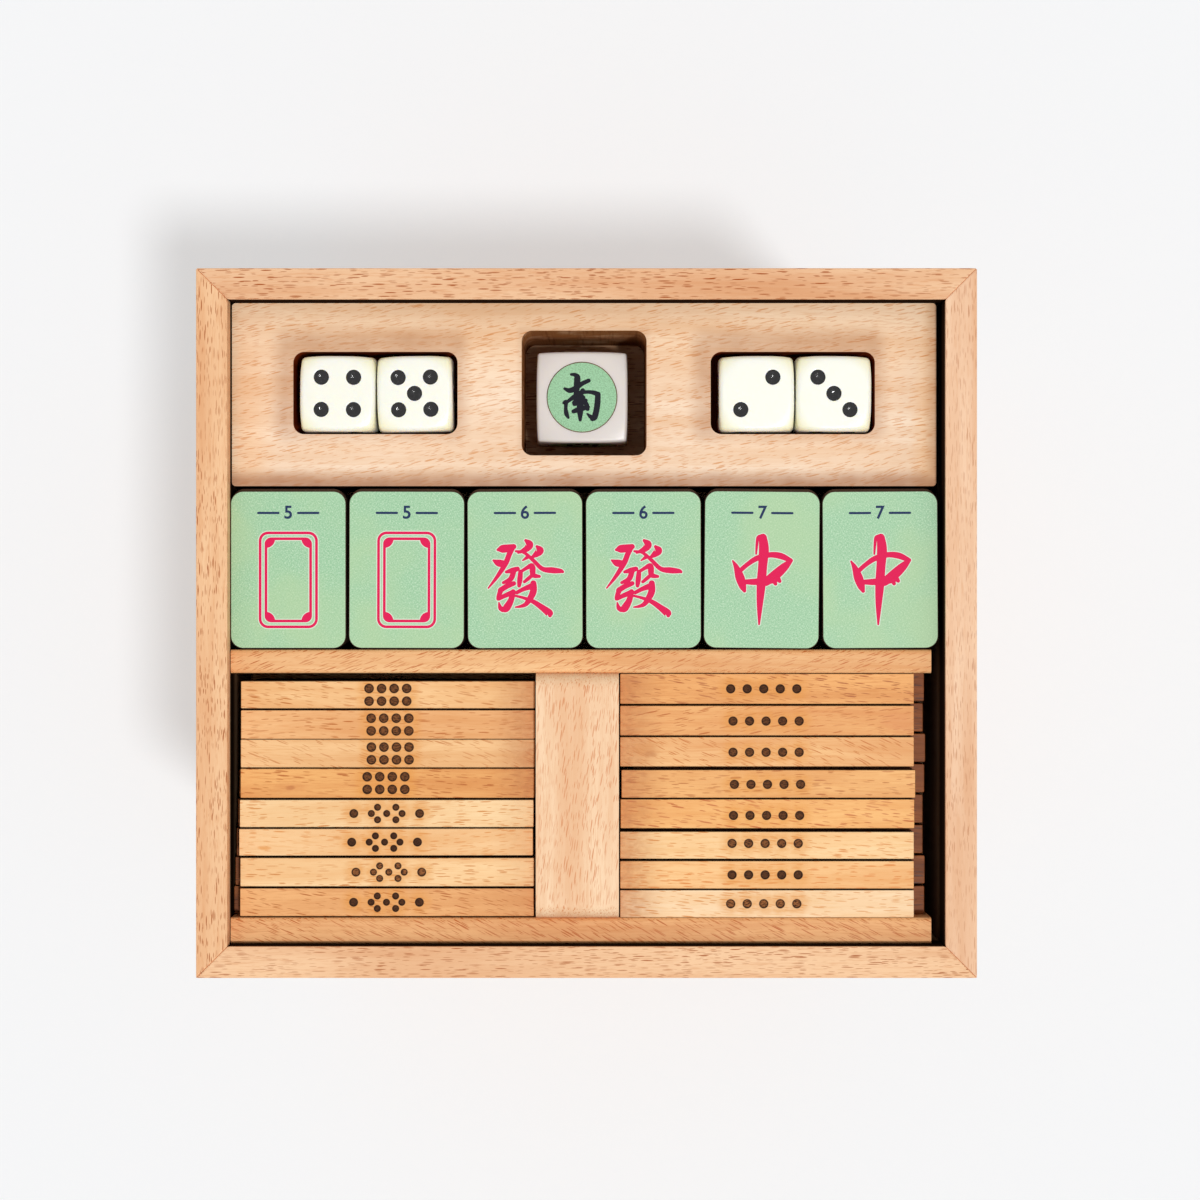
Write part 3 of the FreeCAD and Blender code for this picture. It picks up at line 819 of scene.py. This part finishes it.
def printed_ink(name, colour, faded, speckle=1.0):
    """Printed ink, a little broken by the weave of what it is printed on."""
    ink = Finish(name)
    weave = ink.noise(ink.place(), scale=4.5, roughness=0.7)
    ink.surface(
        Base_Color=ink.mix(colour, faded, weave.rise(0.52, 0.74) * 0.7 * speckle),
        Roughness=0.45 + weave * 0.2,
        Specular_IOR_Level=PRINT_GLOSS,
    )
    ink.bump(weave, 0.02)
    return ink


wind_white = moulded_plastic("wind_die_white", WIND_WHITE, WIND_PAINTED_EDGE_LIGHT, WIND_FLAT, WIND_MILK)
disc_print = Finish("wind_disc_print")
disc_grain = disc_print.noise(disc_print.place(), scale=3.2, detail=3.0, roughness=0.75)
colour = disc_print.mix(DISC_SHADE, DISC_GREEN, disc_grain.rise(0.36, 0.6))
colour = disc_print.mix(colour, DISC_PALE, disc_grain.rise(0.60, 0.74) * 0.7)
disc_print.surface(Base_Color=colour, Roughness=0.5 + disc_grain * 0.15)
disc_print.bump(disc_grain, 0.015)
disc_edge = Finish("wind_disc_edge")
edge_grain = disc_edge.noise(disc_edge.place(), scale=2.0)
colour = disc_edge.mix(DISC_RIM, DISC_RIM_DARK, edge_grain.rise(0.4, 0.65))
disc_edge.surface(Base_Color=colour, Roughness=0.7)
wind_ink = printed_ink("wind_ink", INK, INK_FADED)

WIND_FACES = {"south": (0, 0, 1), "west": (0, -1, 0), "east": (0, 1, 0), "north": (0, 0, -1)}
wind_edge = size_of("wind_die").z
wind_middle = middle_of("wind_die") + WIND_SHIFT


def skin(shape, rings):
    """The faces of a plate between the rings of its points; its flat top takes the second finish."""
    band(shape, rings)
    shape.faces.new(rings[0][::-1])
    shape.faces.new(rings[-1]).material_index = 1


def band(shape, rings):
    """The faces between each ring of points and the next."""
    for lower, upper in zip(rings, rings[1:]):
        for step in range(len(lower)):
            following = (step + 1) % len(lower)
            shape.faces.new((lower[step], lower[following], upper[following], upper[step]))


def round_plate(shape, at, radius, thick, ease, segments=72):
    """A thin round plate with eased edges; its flat top takes the second finish."""
    rings = []
    for reach, level in ((radius, 0), (radius, thick - ease), (radius - ease, thick)):
        ring = []
        for step in range(segments):
            turn = math.tau * step / segments
            ring.append(shape.verts.new(at @ Vector((math.cos(turn) * reach, math.sin(turn) * reach, level))))
        rings.append(ring)
    skin(shape, rings)


def disc_seat(wind):
    """The place of a disc's underside on the face of the wind die that its wind looks out of."""
    return turned_to(WIND_FACES[wind]) @ Matrix.Translation((0, 0, wind_edge / 2 - DISC_THICK))


recesses = bmesh.new()
for wind in WIND_SIGNS:
    round_plate(recesses, disc_seat(wind), DISC_RADIUS + DISC_GAP, DISC_THICK + RECESS_RISE, RECESS_EASE)
wind_shape = moulded_cube(wind_edge, WIND_FLAT, WIND_EASE, WIND_CROWN)
wind_die = new_piece("wind_die_white", wind_shape, wind_middle, [wind_white], "wind_die")
cut_away(wind_die, recesses, disc_edge)
shade_round(wind_die)
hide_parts("wind_die")

discs = bmesh.new()
signs = bmesh.new()
for wind, (aspect, strokes) in WIND_SIGNS.items():
    disc_top = DISC_THICK - DISC_SINK
    round_plate(discs, disc_seat(wind), DISC_RADIUS, disc_top, DISC_EASE)
    drawn = bmesh.new()
    sign(drawn, strokes, SIGN_HEIGHT, aspect, disc_top + SIGN_LIFT, fullness=WIND_FULLNESS)
    add_copy(signs, drawn, disc_seat(wind))
    drawn.free()
finishes = [disc_edge, disc_print]
wind_discs = new_piece("wind_discs_printed", discs, wind_middle, finishes, "wind_die")
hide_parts("wind_discs")
new_piece("wind_signs", signs, wind_middle, [wind_ink], "wind_die")


# The tiles: thick plates of wood, cut and scorched dark round their sides, with a printed green
# face on top.  Two show the white dragon's frame, two the green dragon and two the red.

TILE_GREEN = paint(166, 208, 168)
TILE_GREEN_DEEP = paint(136, 186, 142)
TILE_GREEN_PALE = paint(208, 232, 202)
TILE_GREEN_WARM = paint(178, 206, 154)
TILE_SCORCH = paint(62, 42, 30)
TILE_FIBRE = paint(160, 126, 94)
TILE_CORNER = 2.7
TILE_EASE = 0.12
FACE_INSET = 0.03
REAR_BEVEL = (0.5, 0.9)
CRIMSON = paint(226, 8, 82)
CRIMSON_FADED = paint(228, 44, 104)
NAVY = paint(22, 42, 84)
NAVY_FADED = paint(58, 84, 118)
HALO = paint(216, 238, 216)
HALO_SPREAD = 0.19
HALO_LIFT = 0.012
INK_LIFT = 0.03
CORNERS = ((1, 1), (-1, 1), (-1, -1), (1, -1))


def rounded_outline(width, depth, corner, steps=8):
    """The points of a rectangle with rounded corners about the origin."""
    points = []
    for quarter, (side_x, side_y) in enumerate(CORNERS):
        for step in range(steps + 1):
            turn = math.pi / 2 * (quarter + step / steps)
            x = side_x * (width / 2 - corner) + math.cos(turn) * corner
            y = side_y * (depth / 2 - corner) + math.sin(turn) * corner
            points.append((x, y))
    return points


def slab(width, depth, height, corner, ease, face_inset, corner_steps=9, rear_bevel=(0, 0)):
    """A plate with rounded corners and eased edges; its top inside the inset is the second finish."""
    out, down = rear_bevel
    insets = [(ease, 0), (ease * 0.3, ease * 0.3), (0, ease)]
    if down:
        insets.append((0, height - down - 2 * ease))
    insets += [(inset, height - rise) for inset, rise in reversed(insets[:3])]
    insets.append((ease + face_inset, height))
    shape = bmesh.new()
    rings = []
    for inset, level in insets:
        ring = []
        for x, y in rounded_outline(width - 2 * inset, depth - 2 * inset, corner - inset, corner_steps):
            if level < height - down - ease and y > 0:
                y += out * min(1, (y / (depth / 2)) ** 8)
            ring.append(shape.verts.new((x, y, level - height / 2)))
        rings.append(ring)
    skin(shape, rings)
    return shape


def scorched_wood(name, seed):
    """The cut side of a plate of wood, scorched nearly black, with pale fibres left here and there."""
    wood = Finish(name)
    x, y, z = wood.apart(wood.place())
    fibre = wood.noise(wood.joined(x / 1.4 + seed, y / 1.4, z / 0.16), detail=3.0, roughness=0.7)
    patch = wood.noise(wood.joined(x / 6 + seed, y / 6, z / 5))
    shown = fibre.rise(0.58, 0.78) * (patch.rise(0.40, 0.70) * 0.7 + 0.3)
    wood.surface(
        Base_Color=wood.mix(TILE_SCORCH, TILE_FIBRE, shown),
        Roughness=0.72 + (fibre - 0.5) * 0.2,
        Specular_IOR_Level=RAW_WOOD_GLOSS,
    )
    wood.bump(fibre, 0.09)
    return wood


def printed_green(name, seed):
    """The green printed face of a tile, with a fine cloth-like speckle."""
    face = Finish(name)
    x, y, _ = face.apart(face.place())
    warp = face.noise(face.joined(x / 0.42 + seed, y / 0.13, seed), roughness=0.6)
    weft = face.noise(face.joined(x / 0.13, y / 0.42 + seed, seed + 9), roughness=0.6)
    speckle = warp * 0.5 + weft * 0.5
    cloud = face.noise(face.joined(x / 20 + seed, y / 24, seed), detail=3.0)
    colour = face.mix(TILE_GREEN_DEEP, TILE_GREEN, speckle.rise(0.42, 0.54) * 0.75 + cloud * 0.25)
    colour = face.mix(colour, TILE_GREEN_PALE, speckle.rise(0.52, 0.62) * 0.8)
    colour = face.mix(colour, TILE_GREEN_WARM, cloud.rise(0.42, 0.66) * 0.5)
    face.surface(Base_Color=colour, Roughness=0.5 + (speckle - 0.5) * 0.3)
    face.bump(speckle, 0.02)
    return face


# Each dragon's sign: its height, how wide it is for its height, its middle, and its strokes.
DRAGON_SIGNS = {
    "green": (16.3, 0.98, (0.0, -1.75), [
        [(14, 87, 3), (19, 88, 9), (27, 89, 9), (35, 91, 6)],
        [(33, 89, 6), (29, 81, 6), (24, 69, 6), (13, 52, 4), (1, 37, 1)],
        [(8, 73, 2), (14, 70, 8), (20, 69, 8), (25, 70, 5)],
        [(51, 99, 3), (56, 94, 9), (52, 88, 7), (41, 83, 2)],
        [(66, 91, 3), (70, 86, 9), (65, 81, 7), (59, 77, 2)],
        [(38, 85, 2), (49, 83, 3), (61, 73, 4), (73, 62, 5), (86, 60, 7), (97, 59, 5), (100, 58, 3)],
        [(47, 73, 1), (53, 77, 4)],
        [(25, 58, 3), (33, 60, 6), (40, 62, 5)],
        [(35, 60, 6), (31, 49, 6), (21, 44, 3)],
        [(17, 34, 6), (25, 39, 6), (35, 43, 5)],
        [(18, 35, 6), (15, 27, 5), (14, 23, 4)],
        [(15, 23, 4), (23, 27, 5), (33, 31, 6)],
        [(34, 32, 6), (31, 21, 7), (25, 11, 9), (20, 9, 6)],
        [(21, 9, 6), (17, 11, 5), (15, 18, 1)],
        [(44, 58, 5), (43, 48, 6), (42, 40, 4)],
        [(44, 58, 3), (52, 63, 4), (59, 66, 6), (60, 59, 7)],
        [(60, 63, 7), (61, 54, 6), (69, 52, 3)],
        [(49, 45, 3), (54, 49, 4), (60, 54, 4)],
        [(39, 31, 4), (49, 36, 5), (61, 40, 8)],
        [(61, 43, 7), (61, 33, 8), (57, 24, 7), (51, 16, 5), (44, 13, 3), (37, 12, 1)],
        [(36, 27, 2), (48, 24, 3), (61, 19, 5), (73, 11, 7), (82, 4, 9), (83, 1, 4)],
    ]),
    "red": (19.2, 0.66, (0.15, -2.2), [
        [(0, 71, 1), (6, 64, 5), (12, 53, 9), (17, 43, 7), (20, 38, 3)],
        [(12, 60, 4), (24, 67, 4), (40, 74, 5), (61, 78, 5), (80, 77, 6), (97, 72, 4)],
        [(98, 72, 3), (87, 65, 8), (72, 56, 10), (56, 48, 8)],
        [(19, 48, 4), (36, 48, 6), (56, 49, 7), (74, 51, 6), (79, 49, 3)],
        [(69, 50, 5), (72, 46, 3)],
        [(39, 79, 1), (40, 88, 2), (42, 97, 3), (50, 97, 8)],
        [(50, 97, 8), (52, 84, 10), (50, 65, 9), (48, 46, 9), (46, 24, 6), (45, 1, 1)],
    ]),
}

# Each tile: its dragon, the number at its head, and how far it is turned.
TILES = {
    "white_dragon_1": ("white", "5", 0.0),
    "white_dragon_2": ("white", "5", -0.15),
    "green_dragon_1": ("green", "6", 0.2),
    "green_dragon_2": ("green", "6", 0.1),
    "red_dragon_1": ("red", "7", -0.5),
    "red_dragon_2": ("red", "7", 0.3),
}
NUMBER_HEIGHT = 2.7
DIGIT_SHARE = 0.7
NUMBER_WEIGHT = 0.018
NUMBER_RISE = 12.1
DASH = (2.1, 6.4)
DASH_THICK = 0.48
FRAME_MIDDLE = -2.15
OUTER_FRAME = (12.0, 20.0, 1.7)
INNER_FRAME = (9.5, 17.5, 1.1)
FRAME_LINE = 0.58
QUARTER_DISC = 1.95


def ruled_frame(shape, size, line, lift, spread):
    """A ruled line round a rectangle."""
    width, depth, corner = size
    rings = []
    for out in (line / 2 + spread, -line / 2 - spread):
        outline = rounded_outline(width + 2 * out, depth + 2 * out, corner + out)
        rings.append([shape.verts.new((x, y + FRAME_MIDDLE, lift)) for x, y in outline])
    band(shape, rings)


def quarter_turn(steps):
    """The cosine and the sine at each step of a quarter of a turn."""
    turns = [math.pi / 2 * step / steps for step in range(steps + 1)]
    return [(math.cos(turn), math.sin(turn)) for turn in turns]


def white_dragon(shape, lift, spread):
    """Two ruled frames, the inner one with a filled quarter disc in each corner."""
    ruled_frame(shape, OUTER_FRAME, FRAME_LINE, lift, spread)
    ruled_frame(shape, INNER_FRAME, FRAME_LINE, lift + STROKE_STEP, spread)
    width, depth, bend = INNER_FRAME
    reach = QUARTER_DISC + spread
    rim = [((1 - across) * bend, (1 - up) * bend) for across, up in quarter_turn(4)]
    rim += [(across * reach, up * reach) for across, up in quarter_turn(12)]
    for side_x, side_y in CORNERS:
        corner = Vector((side_x * width / 2, side_y * depth / 2 + FRAME_MIDDLE, lift + 2 * STROKE_STEP))
        points = [corner - Vector((side_x * x, side_y * y, 0)) for x, y in rim]
        face = shape.faces.new([shape.verts.new(point) for point in points])
        if side_x * side_y < 0:
            face.normal_flip()


def dragon_sign(shape, kind, lift, spread):
    """The sign of one dragon; a spread makes all its lines wider."""
    if kind == "white":
        white_dragon(shape, lift, spread)
        return
    height, aspect, (x, y), strokes = DRAGON_SIGNS[kind]
    first = len(shape.verts)
    sign(shape, strokes, height, aspect, lift, spread)
    shape.verts.ensure_lookup_table()
    for vertex in shape.verts[first:]:
        vertex.co += Vector((x, y, 0))


def number_label(shape, number, lift):
    """A plain number between two short dashes."""
    text = bpy.data.curves.new("number", "FONT")
    text.body = number
    text.align_x = "CENTER"
    text.align_y = "CENTER"
    text.size = NUMBER_HEIGHT / DIGIT_SHARE
    text.offset = NUMBER_WEIGHT * text.size
    letter = placed("number", text)
    outline = finished_mesh(letter)
    outline.transform(Matrix.Translation((0, NUMBER_RISE, lift)))
    shape.from_mesh(outline)
    bpy.data.objects.remove(letter)
    bpy.data.curves.remove(text)
    bpy.data.meshes.remove(outline)
    for side in (-1, 1):
        start, end = (side * reach for reach in DASH)
        brush_stroke(shape, [(start, NUMBER_RISE, DASH_THICK), (end, NUMBER_RISE, DASH_THICK)], lift)


halo_print = printed_ink("halo_print", HALO, TILE_GREEN, 0.5)
crimson_print = printed_ink("crimson_print", CRIMSON, CRIMSON_FADED)
navy_print = printed_ink("navy_print", NAVY, NAVY_FADED, 0.6)
tile_size = size_of("white_dragon_1")
layers = {"halo": (halo_print, HALO_LIFT, HALO_SPREAD), "print": (crimson_print, INK_LIFT, 0.0)}
for number, (name, (kind, digit, turn)) in enumerate(TILES.items()):
    middle = middle_of(name)
    shape = slab(*tile_size, TILE_CORNER, TILE_EASE, FACE_INSET, rear_bevel=REAR_BEVEL)
    finishes = [scorched_wood(f"{name}_sides", number * 13.0), printed_green(f"{name}_face", number * 17.0)]
    tile = new_piece(f"{name}_plate", shape, middle, finishes, name, turn)
    shade_round(tile)
    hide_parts(name)
    for layer, (finish, lift, spread) in layers.items():
        drawn = bmesh.new()
        dragon_sign(drawn, kind, tile_size.z / 2 + lift, spread)
        new_piece(f"{name}_{layer}", drawn, middle, [finish], name, turn)
    label = bmesh.new()
    number_label(label, digit, tile_size.z / 2 + INK_LIFT)
    new_piece(f"{name}_number", label, middle, [navy_print], name, turn)

lower_low, lower_high = (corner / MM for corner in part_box("lower_tiles"))
pitch = (lower_high.x - lower_low.x - tile_size.x) / (len(TILES) - 1)
lower_middle = (lower_low + lower_high) / 2
row = bmesh.new()
plate = slab(*tile_size, TILE_CORNER, TILE_EASE, FACE_INSET)
for number in range(len(TILES)):
    add_copy(row, plate, Matrix.Translation(((number - (len(TILES) - 1) / 2) * pitch, 0, 0)))
plate.free()
finishes = [scorched_wood("lower_tile_sides", 97.0), printed_green("lower_tile_faces", 131.0)]
lower_tiles = new_piece("lower_tile_plates", row, lower_middle, finishes, "case")
shade_round(lower_tiles)
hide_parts("lower_tiles")


# The stick tray: a base between two rails with eased top edges, and a grip post glued between the
# rails, its grain from front to rear and its ends rounded over.  All of it is warm beech.

RAIL_PALE = paint(247, 198, 143)
RAIL_DEEP = paint(225, 158, 100)
RAIL_FLECK = paint(188, 90, 16)
FRONT_RAIL_PALE = paint(242, 182, 124)
FRONT_RAIL_DEEP = paint(216, 144, 88)
POST_PALE = paint(251, 216, 178)
POST_DEEP = paint(236, 185, 141)
POST_FLECK = paint(208, 118, 56)
TRAY_ARRIS = 0.25
REAR_FIGURE = {"slant": -0.42, "fleck_length": 2.8, "fleck_share": 0.8}
FRONT_FIGURE = {"slant": 0.5, "fleck_length": 3.2, "fleck_share": 0.9}
POST_FIGURE = {"slant": -0.12, "fleck_share": 0.8, "fleck_width": 0.22, "fleck_dark": 0.8, "patch": 9.0}

# Each piece: its grain, its pale, deep and fleck colours, the seed and the rest of its figure, and
# how far its arrises are broken.
TRAY = {
    "rear_tray_rail": (X, RAIL_PALE, RAIL_DEEP, RAIL_FLECK, 401.0, REAR_FIGURE, 0.0),
    "front_tray_rail": (X, FRONT_RAIL_PALE, FRONT_RAIL_DEEP, RAIL_FLECK, 433.0, FRONT_FIGURE, 0.0),
    "tray_base": (X, RAIL_PALE, RAIL_DEEP, RAIL_FLECK, 457.0, {}, TRAY_ARRIS),
    "grip_post": (Y, POST_PALE, POST_DEEP, POST_FLECK, 471.0, POST_FIGURE, 0.0),
}
for name, (grain, pale, deep, fleck, seed, figure, arris) in TRAY.items():
    refinish(name, beech(f"{name}_beech", grain, pale, deep, fleck, Z, seed=seed, **figure), arris)


# The counting sticks: strips of beech cut by a hot beam, so their sides are scorched and their
# spots are sunk and burnt, with a yellow scorch round them.  No two are quite the same width.

SCORCH_SIDE = paint(70, 40, 20)
SPOT_DARK = paint(52, 26, 10)
SPOT_LIGHT = paint(168, 104, 56)
SPOT_HALO = paint(226, 148, 58)
SPOT_SINK = 0.35
SPOT_TAPER = 0.14
STICK_CORNER = 0.2
STICK_EASE = 0.12
STICK_INSET = 0.05
STICKS_IN_A_BAY = 8
END_PAINTED_SHADE = paint(186, 116, 66)

# Marks in the wood of single sticks: place, half length, half width, colour and strength.
MARKS = {
    "left_stick_4": [
        (-20.7, -0.9, 1.3, 0.6, (176, 96, 48), 0.9),
        (-20.7, -0.9, 4.2, 1.5, (222, 150, 86), 0.5),
    ],
    "right_stick_3": [
        (-25.9, 0.4, 3.4, 2.0, (214, 146, 86), 0.65),
        (-25.0, -0.5, 1.5, 0.9, (188, 118, 66), 0.45),
    ],
    "right_stick_2": [(28.4, -0.4, 4.6, 2.6, (224, 146, 90), 0.55)],
    "left_stick_6": [
        (-26.0, -1.2, 1.6, 0.6, (228, 150, 70), 0.7),
        (-10.5, 0.9, 1.2, 0.5, (224, 152, 84), 0.6),
    ],
}

# The spots of each kind of stick: their places along and across it, and their radius.
HUNDREDS = [(x * 2.67, y * 1.35, 0.98) for x in (-1.5, -0.5, 0.5, 1.5) for y in (-1, 1)]
FIVE_THOUSANDS = [(x * 3.52, 0.0, 0.94) for x in (-2, -1, 0, 1, 2)]
TEN_THOUSANDS = [(-7.0, 0.0, 0.9), (7.0, 0.0, 0.9)]
TEN_THOUSANDS += [(x * 3.27, 0.0, 0.7) for x in (-1, 0, 1)]
TEN_THOUSANDS += [(x * 1.95, y * 1.33, 0.7) for x in (-1, 1) for y in (-1, 1)]

# Each kind of stick: its spots, which of its ends is darkened with painted shade beside the grip post, and
# how much.
KINDS = {
    "hundreds": (HUNDREDS, 1, 0.8),
    "ten_thousands": (TEN_THOUSANDS, 1, 0.25),
    "five_thousands": (FIVE_THOUSANDS, -1, 0.8),
}

# The sticks of each kind, left bay first and rear to front: their width, how far they lie from
# their place along X and Y, their turn, how far their spots are off along X and Y, the slant of
# their flecks, how pale their burnt spots are, and their pale, deep and fleck colours.
STICKS = {
    "hundreds": [
        (5.8, 0.0, 0.5, 0.0, 0.0, 0.0, 0.1, 0.5, (250, 203, 146), (232, 170, 108), (194, 112, 44)),
        (6.15, 0.0, 0.42, 0.0, 0.45, 0.0, -0.04, 0.6, (249, 196, 138), (227, 159, 98), (190, 104, 38)),
        (6.0, -0.05, 0.52, 0.0, 0.55, 0.0, 0.32, 0.6, (247, 199, 143), (229, 169, 109), (196, 114, 48)),
        (6.25, -0.1, 0.42, 0.0, -0.3, 0.05, 0.06, 0.45, (242, 179, 108), (220, 146, 80), (184, 100, 34)),
    ],
    "ten_thousands": [
        (5.85, -0.25, 0.24, 0.0, 0.0, 0.0, -0.02, 0.35, (252, 216, 165), (240, 190, 132), (212, 134, 60)),
        (5.75, -0.4, 0.4, 0.08, -0.3, 0.0, 0.0, 0.12, (250, 206, 153), (238, 181, 121), (220, 138, 62)),
        (6.1, -0.15, 0.26, 0.0, 0.35, 0.0, 0.0, 0.95, (255, 217, 164), (240, 186, 127), (208, 128, 56)),
        (5.95, -0.2, 0.1, 0.0, -0.1, 0.0, 0.22, 0.2, (243, 182, 120), (219, 149, 89), (184, 100, 36)),
    ],
    "five_thousands": [
        (6.45, 0.0, -0.22, 0.0, -0.7, 0.0, 0.16, 0.2, (245, 180, 111), (217, 142, 79), (164, 76, 16)),
        (6.35, 0.0, -0.45, 0.0, -0.2, -0.1, -0.2, 0.35, (245, 186, 120), (225, 151, 89), (188, 100, 34)),
        (6.3, 0.0, -0.55, 0.0, -0.2, -0.1, 0.42, 0.45, (246, 193, 133), (228, 159, 98), (200, 114, 44)),
        (5.95, 0.3, -0.85, 0.0, -0.2, -0.1, 0.0, 0.4, (247, 189, 121), (227, 158, 93), (180, 98, 36)),
        (6.2, 0.1, -0.68, 0.0, -0.2, -0.35, 0.12, 0.35, (251, 193, 122), (233, 162, 92), (190, 92, 26)),
        (5.8, 0.0, -0.85, -0.05, -0.4, 0.4, 0.1, 0.7, (254, 214, 160), (242, 189, 126), (218, 134, 56)),
        (5.9, 0.0, -0.6, 0.0, -0.4, 0.0, 0.0, 0.25, (252, 203, 142), (238, 172, 106), (224, 134, 54)),
        (5.85, 0.0, -0.22, 0.0, -0.7, 0.0, 0.06, 1.0, (255, 223, 182), (244, 198, 144), (220, 142, 68)),
    ],
}


def nearest_spot(wood, x, y, spots):
    """How far a place is from the rim of the nearest spot, less than 0 inside it."""
    nearest = 100.0
    for spot_x, spot_y, radius in spots:
        across = x - spot_x
        up = y - spot_y
        nearest = ((across * across + up * up) ** 0.5 - radius).least(nearest)
    return nearest


def scorch_sides(wood, colour, width):
    """A colour darkened on the cut sides of a strip, and a hair's breadth of its top beside them."""
    x, y, z = wood.apart(wood.place())
    ragged = wood.noise(wood.joined(x / 0.9, y, z / 0.5))
    facing_side = abs(wood.facing()[Y]).rise(0.3, 0.6)
    at_edge = abs(y).rise(width / 2 - 0.22, width / 2 - 0.02) * (ragged * 0.8 + 0.1)
    return wood.mix(colour, SCORCH_SIDE, (facing_side * 0.9).most(at_edge * 0.75))


def plain_strip(length, width, thick, corner_steps):
    """A strip of wood with eased edges and one finish."""
    strip = slab(length, width, thick, STICK_CORNER, STICK_EASE, STICK_INSET, corner_steps)
    for face in strip.faces:
        face.material_index = 0
    return strip


sticks = [(kind, row) for kind, rows in STICKS.items() for row in rows]
for number, (kind, row) in enumerate(sticks):
    bay, place = divmod(number, STICKS_IN_A_BAY)
    name = f"{('left', 'right')[bay]}_stick_{place + 1}"
    spots, shaded_side, end_shade_strength = KINDS[kind]
    width, shift_x, shift_y, turn, spots_x, spots_y, slant, paleness, pale, deep, fleck = row
    spots = [(x + spots_x, y + spots_y, radius) for x, y, radius in spots]
    length, _, thick = size_of(name)
    colours = [paint(*colour) for colour in (pale, deep, fleck)]
    figure = {"fleck_share": 0.62, "fleck_dark": 1.0, "slant": slant, "patch": 7.0, "rough": 0.5}
    wood = beech(f"{name}_beech", X, *colours, Z, seed=500.0 + 29 * number, **figure)
    x, y, _ = wood.apart(wood.place())
    from_rim = nearest_spot(wood, x, y, spots)
    smoke = wood.noise(wood.joined(x / 1.8 + number * 5, y / 1.2, 0.0), detail=3.0, roughness=0.6)
    halo = from_rim.rise(2.6, 0.1) * (smoke * 1.3 - 0.05)
    colour = wood.mix(base_colour(wood), SPOT_HALO, halo * 0.75)
    colour = wood.mix(colour, SPOT_DARK, from_rim.rise(0.14, 0.0) * 0.9)
    # Painted shade: the end of the stick beside the grip post is darkened.
    shaded_end = (x * shaded_side).rise(length / 2 - 11, length / 2 - 0.5) * (smoke * 1.2 + 0.1)
    colour = wood.mix(colour, END_PAINTED_SHADE, shaded_end * end_shade_strength)
    for mark_x, mark_y, half_length, half_width, mark_colour, strength in MARKS.get(name, []):
        off_mark = (abs((x - mark_x) / half_length) ** 2 + abs((y - mark_y) / half_width) ** 2) ** 0.5
        in_mark = (off_mark + (smoke - 0.5) * 1.2).rise(1.15, 0.35)
        colour = wood.mix(colour, paint(*mark_colour), in_mark * strength)
    wood.surface(Base_Color=scorch_sides(wood, colour, width))

    burnt = Finish(f"{name}_spots")
    x, y, _ = burnt.apart(burnt.place())
    inside = nearest_spot(burnt, x, y, spots)
    char = burnt.noise(burnt.joined(x / 0.7 + number * 7, y / 0.3, 0.0), detail=4.0, roughness=0.7)
    lit = inside.rise(-0.04, -0.34) * char.rise(0.36, 0.6) * paleness
    burnt.surface(
        Base_Color=burnt.mix(SPOT_DARK, SPOT_LIGHT, lit),
        Roughness=0.75 + (char - 0.5) * 0.2,
        Specular_IOR_Level=RAW_WOOD_GLOSS,
    )
    burnt.bump(char, 0.12)

    strip = plain_strip(length, width, thick, 2)
    middle = middle_of(name) + Vector((shift_x, shift_y, 0))
    stick = new_piece(f"{name}_strip", strip, middle, [wood], kind, turn)
    cutters = bmesh.new()
    for spot_x, spot_y, radius in spots:
        cone = {"radius1": radius * (1 - SPOT_TAPER), "radius2": radius * (1 + SPOT_TAPER)}
        at = Matrix.Translation((spot_x, spot_y, thick / 2))
        bmesh.ops.create_cone(cutters, segments=26, depth=2 * SPOT_SINK, cap_ends=True, matrix=at, **cone)
    cut_away(stick, cutters, burnt)
    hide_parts(name)


# The sticks beneath: five layers of eight in each bay, the same strips as above.  The right ones
# have slid out against the wall, so that their ends show beside the top layer.  Their wood is
# painted much darker than the sticks above, as painted shade for lying beneath them.

# Painted shade: the lower sticks are coloured far darker than the same strips above.
LOWER_SHADED_PALE = paint(160, 90, 38)
LOWER_SHADED_DEEP = paint(116, 60, 24)
LOWER_SHADED_FLECK = paint(72, 34, 14)

# How far the strips of each bay lie out from their place, rear to front, and how much each layer,
# from the top down, has slid back.
LIES_OUT = {
    "left": (-0.28, -0.55, -0.83, -1.1, -1.38, -1.65, -1.93, -2.2),
    "right": (2.8, 2.55, 3.05, 2.85, 2.5, 2.5, 2.95, 2.85),
}
LAYER_SLIDES = (0.0, 0.15, 0.5, 0.25, 0.6)
for number, (side, places) in enumerate(LIES_OUT.items()):
    name = f"{side}_lower_sticks"
    seed = 700.0 + 31 * number
    wood = beech(f"{name}_beech", X, LOWER_SHADED_PALE, LOWER_SHADED_DEEP, LOWER_SHADED_FLECK, Z, patch=6.5, seed=seed)
    side_faces = abs(wood.facing()[Y]).rise(0.4, 0.6)
    wood.surface(Base_Color=wood.mix(base_colour(wood), SCORCH_SIDE, side_faces * 0.7))
    strips = bmesh.new()
    for row, out in enumerate(places):
        above = f"{side}_stick_{row + 1}"
        length, width, thick = size_of(above)
        strip = plain_strip(length, width, thick, 1)
        for layer, slide in enumerate(LAYER_SLIDES):
            slid = Vector((out - math.copysign(slide, out) * min(abs(out), 1), 0, -(layer + 1) * thick))
            add_copy(strips, strip, Matrix.Translation(middle_of(above) - middle_of(name) + slid))
        strip.free()
    pile = new_piece(f"{side}_lower_strips", strips, middle_of(name), [wood], "stick_tray")
    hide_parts(name)
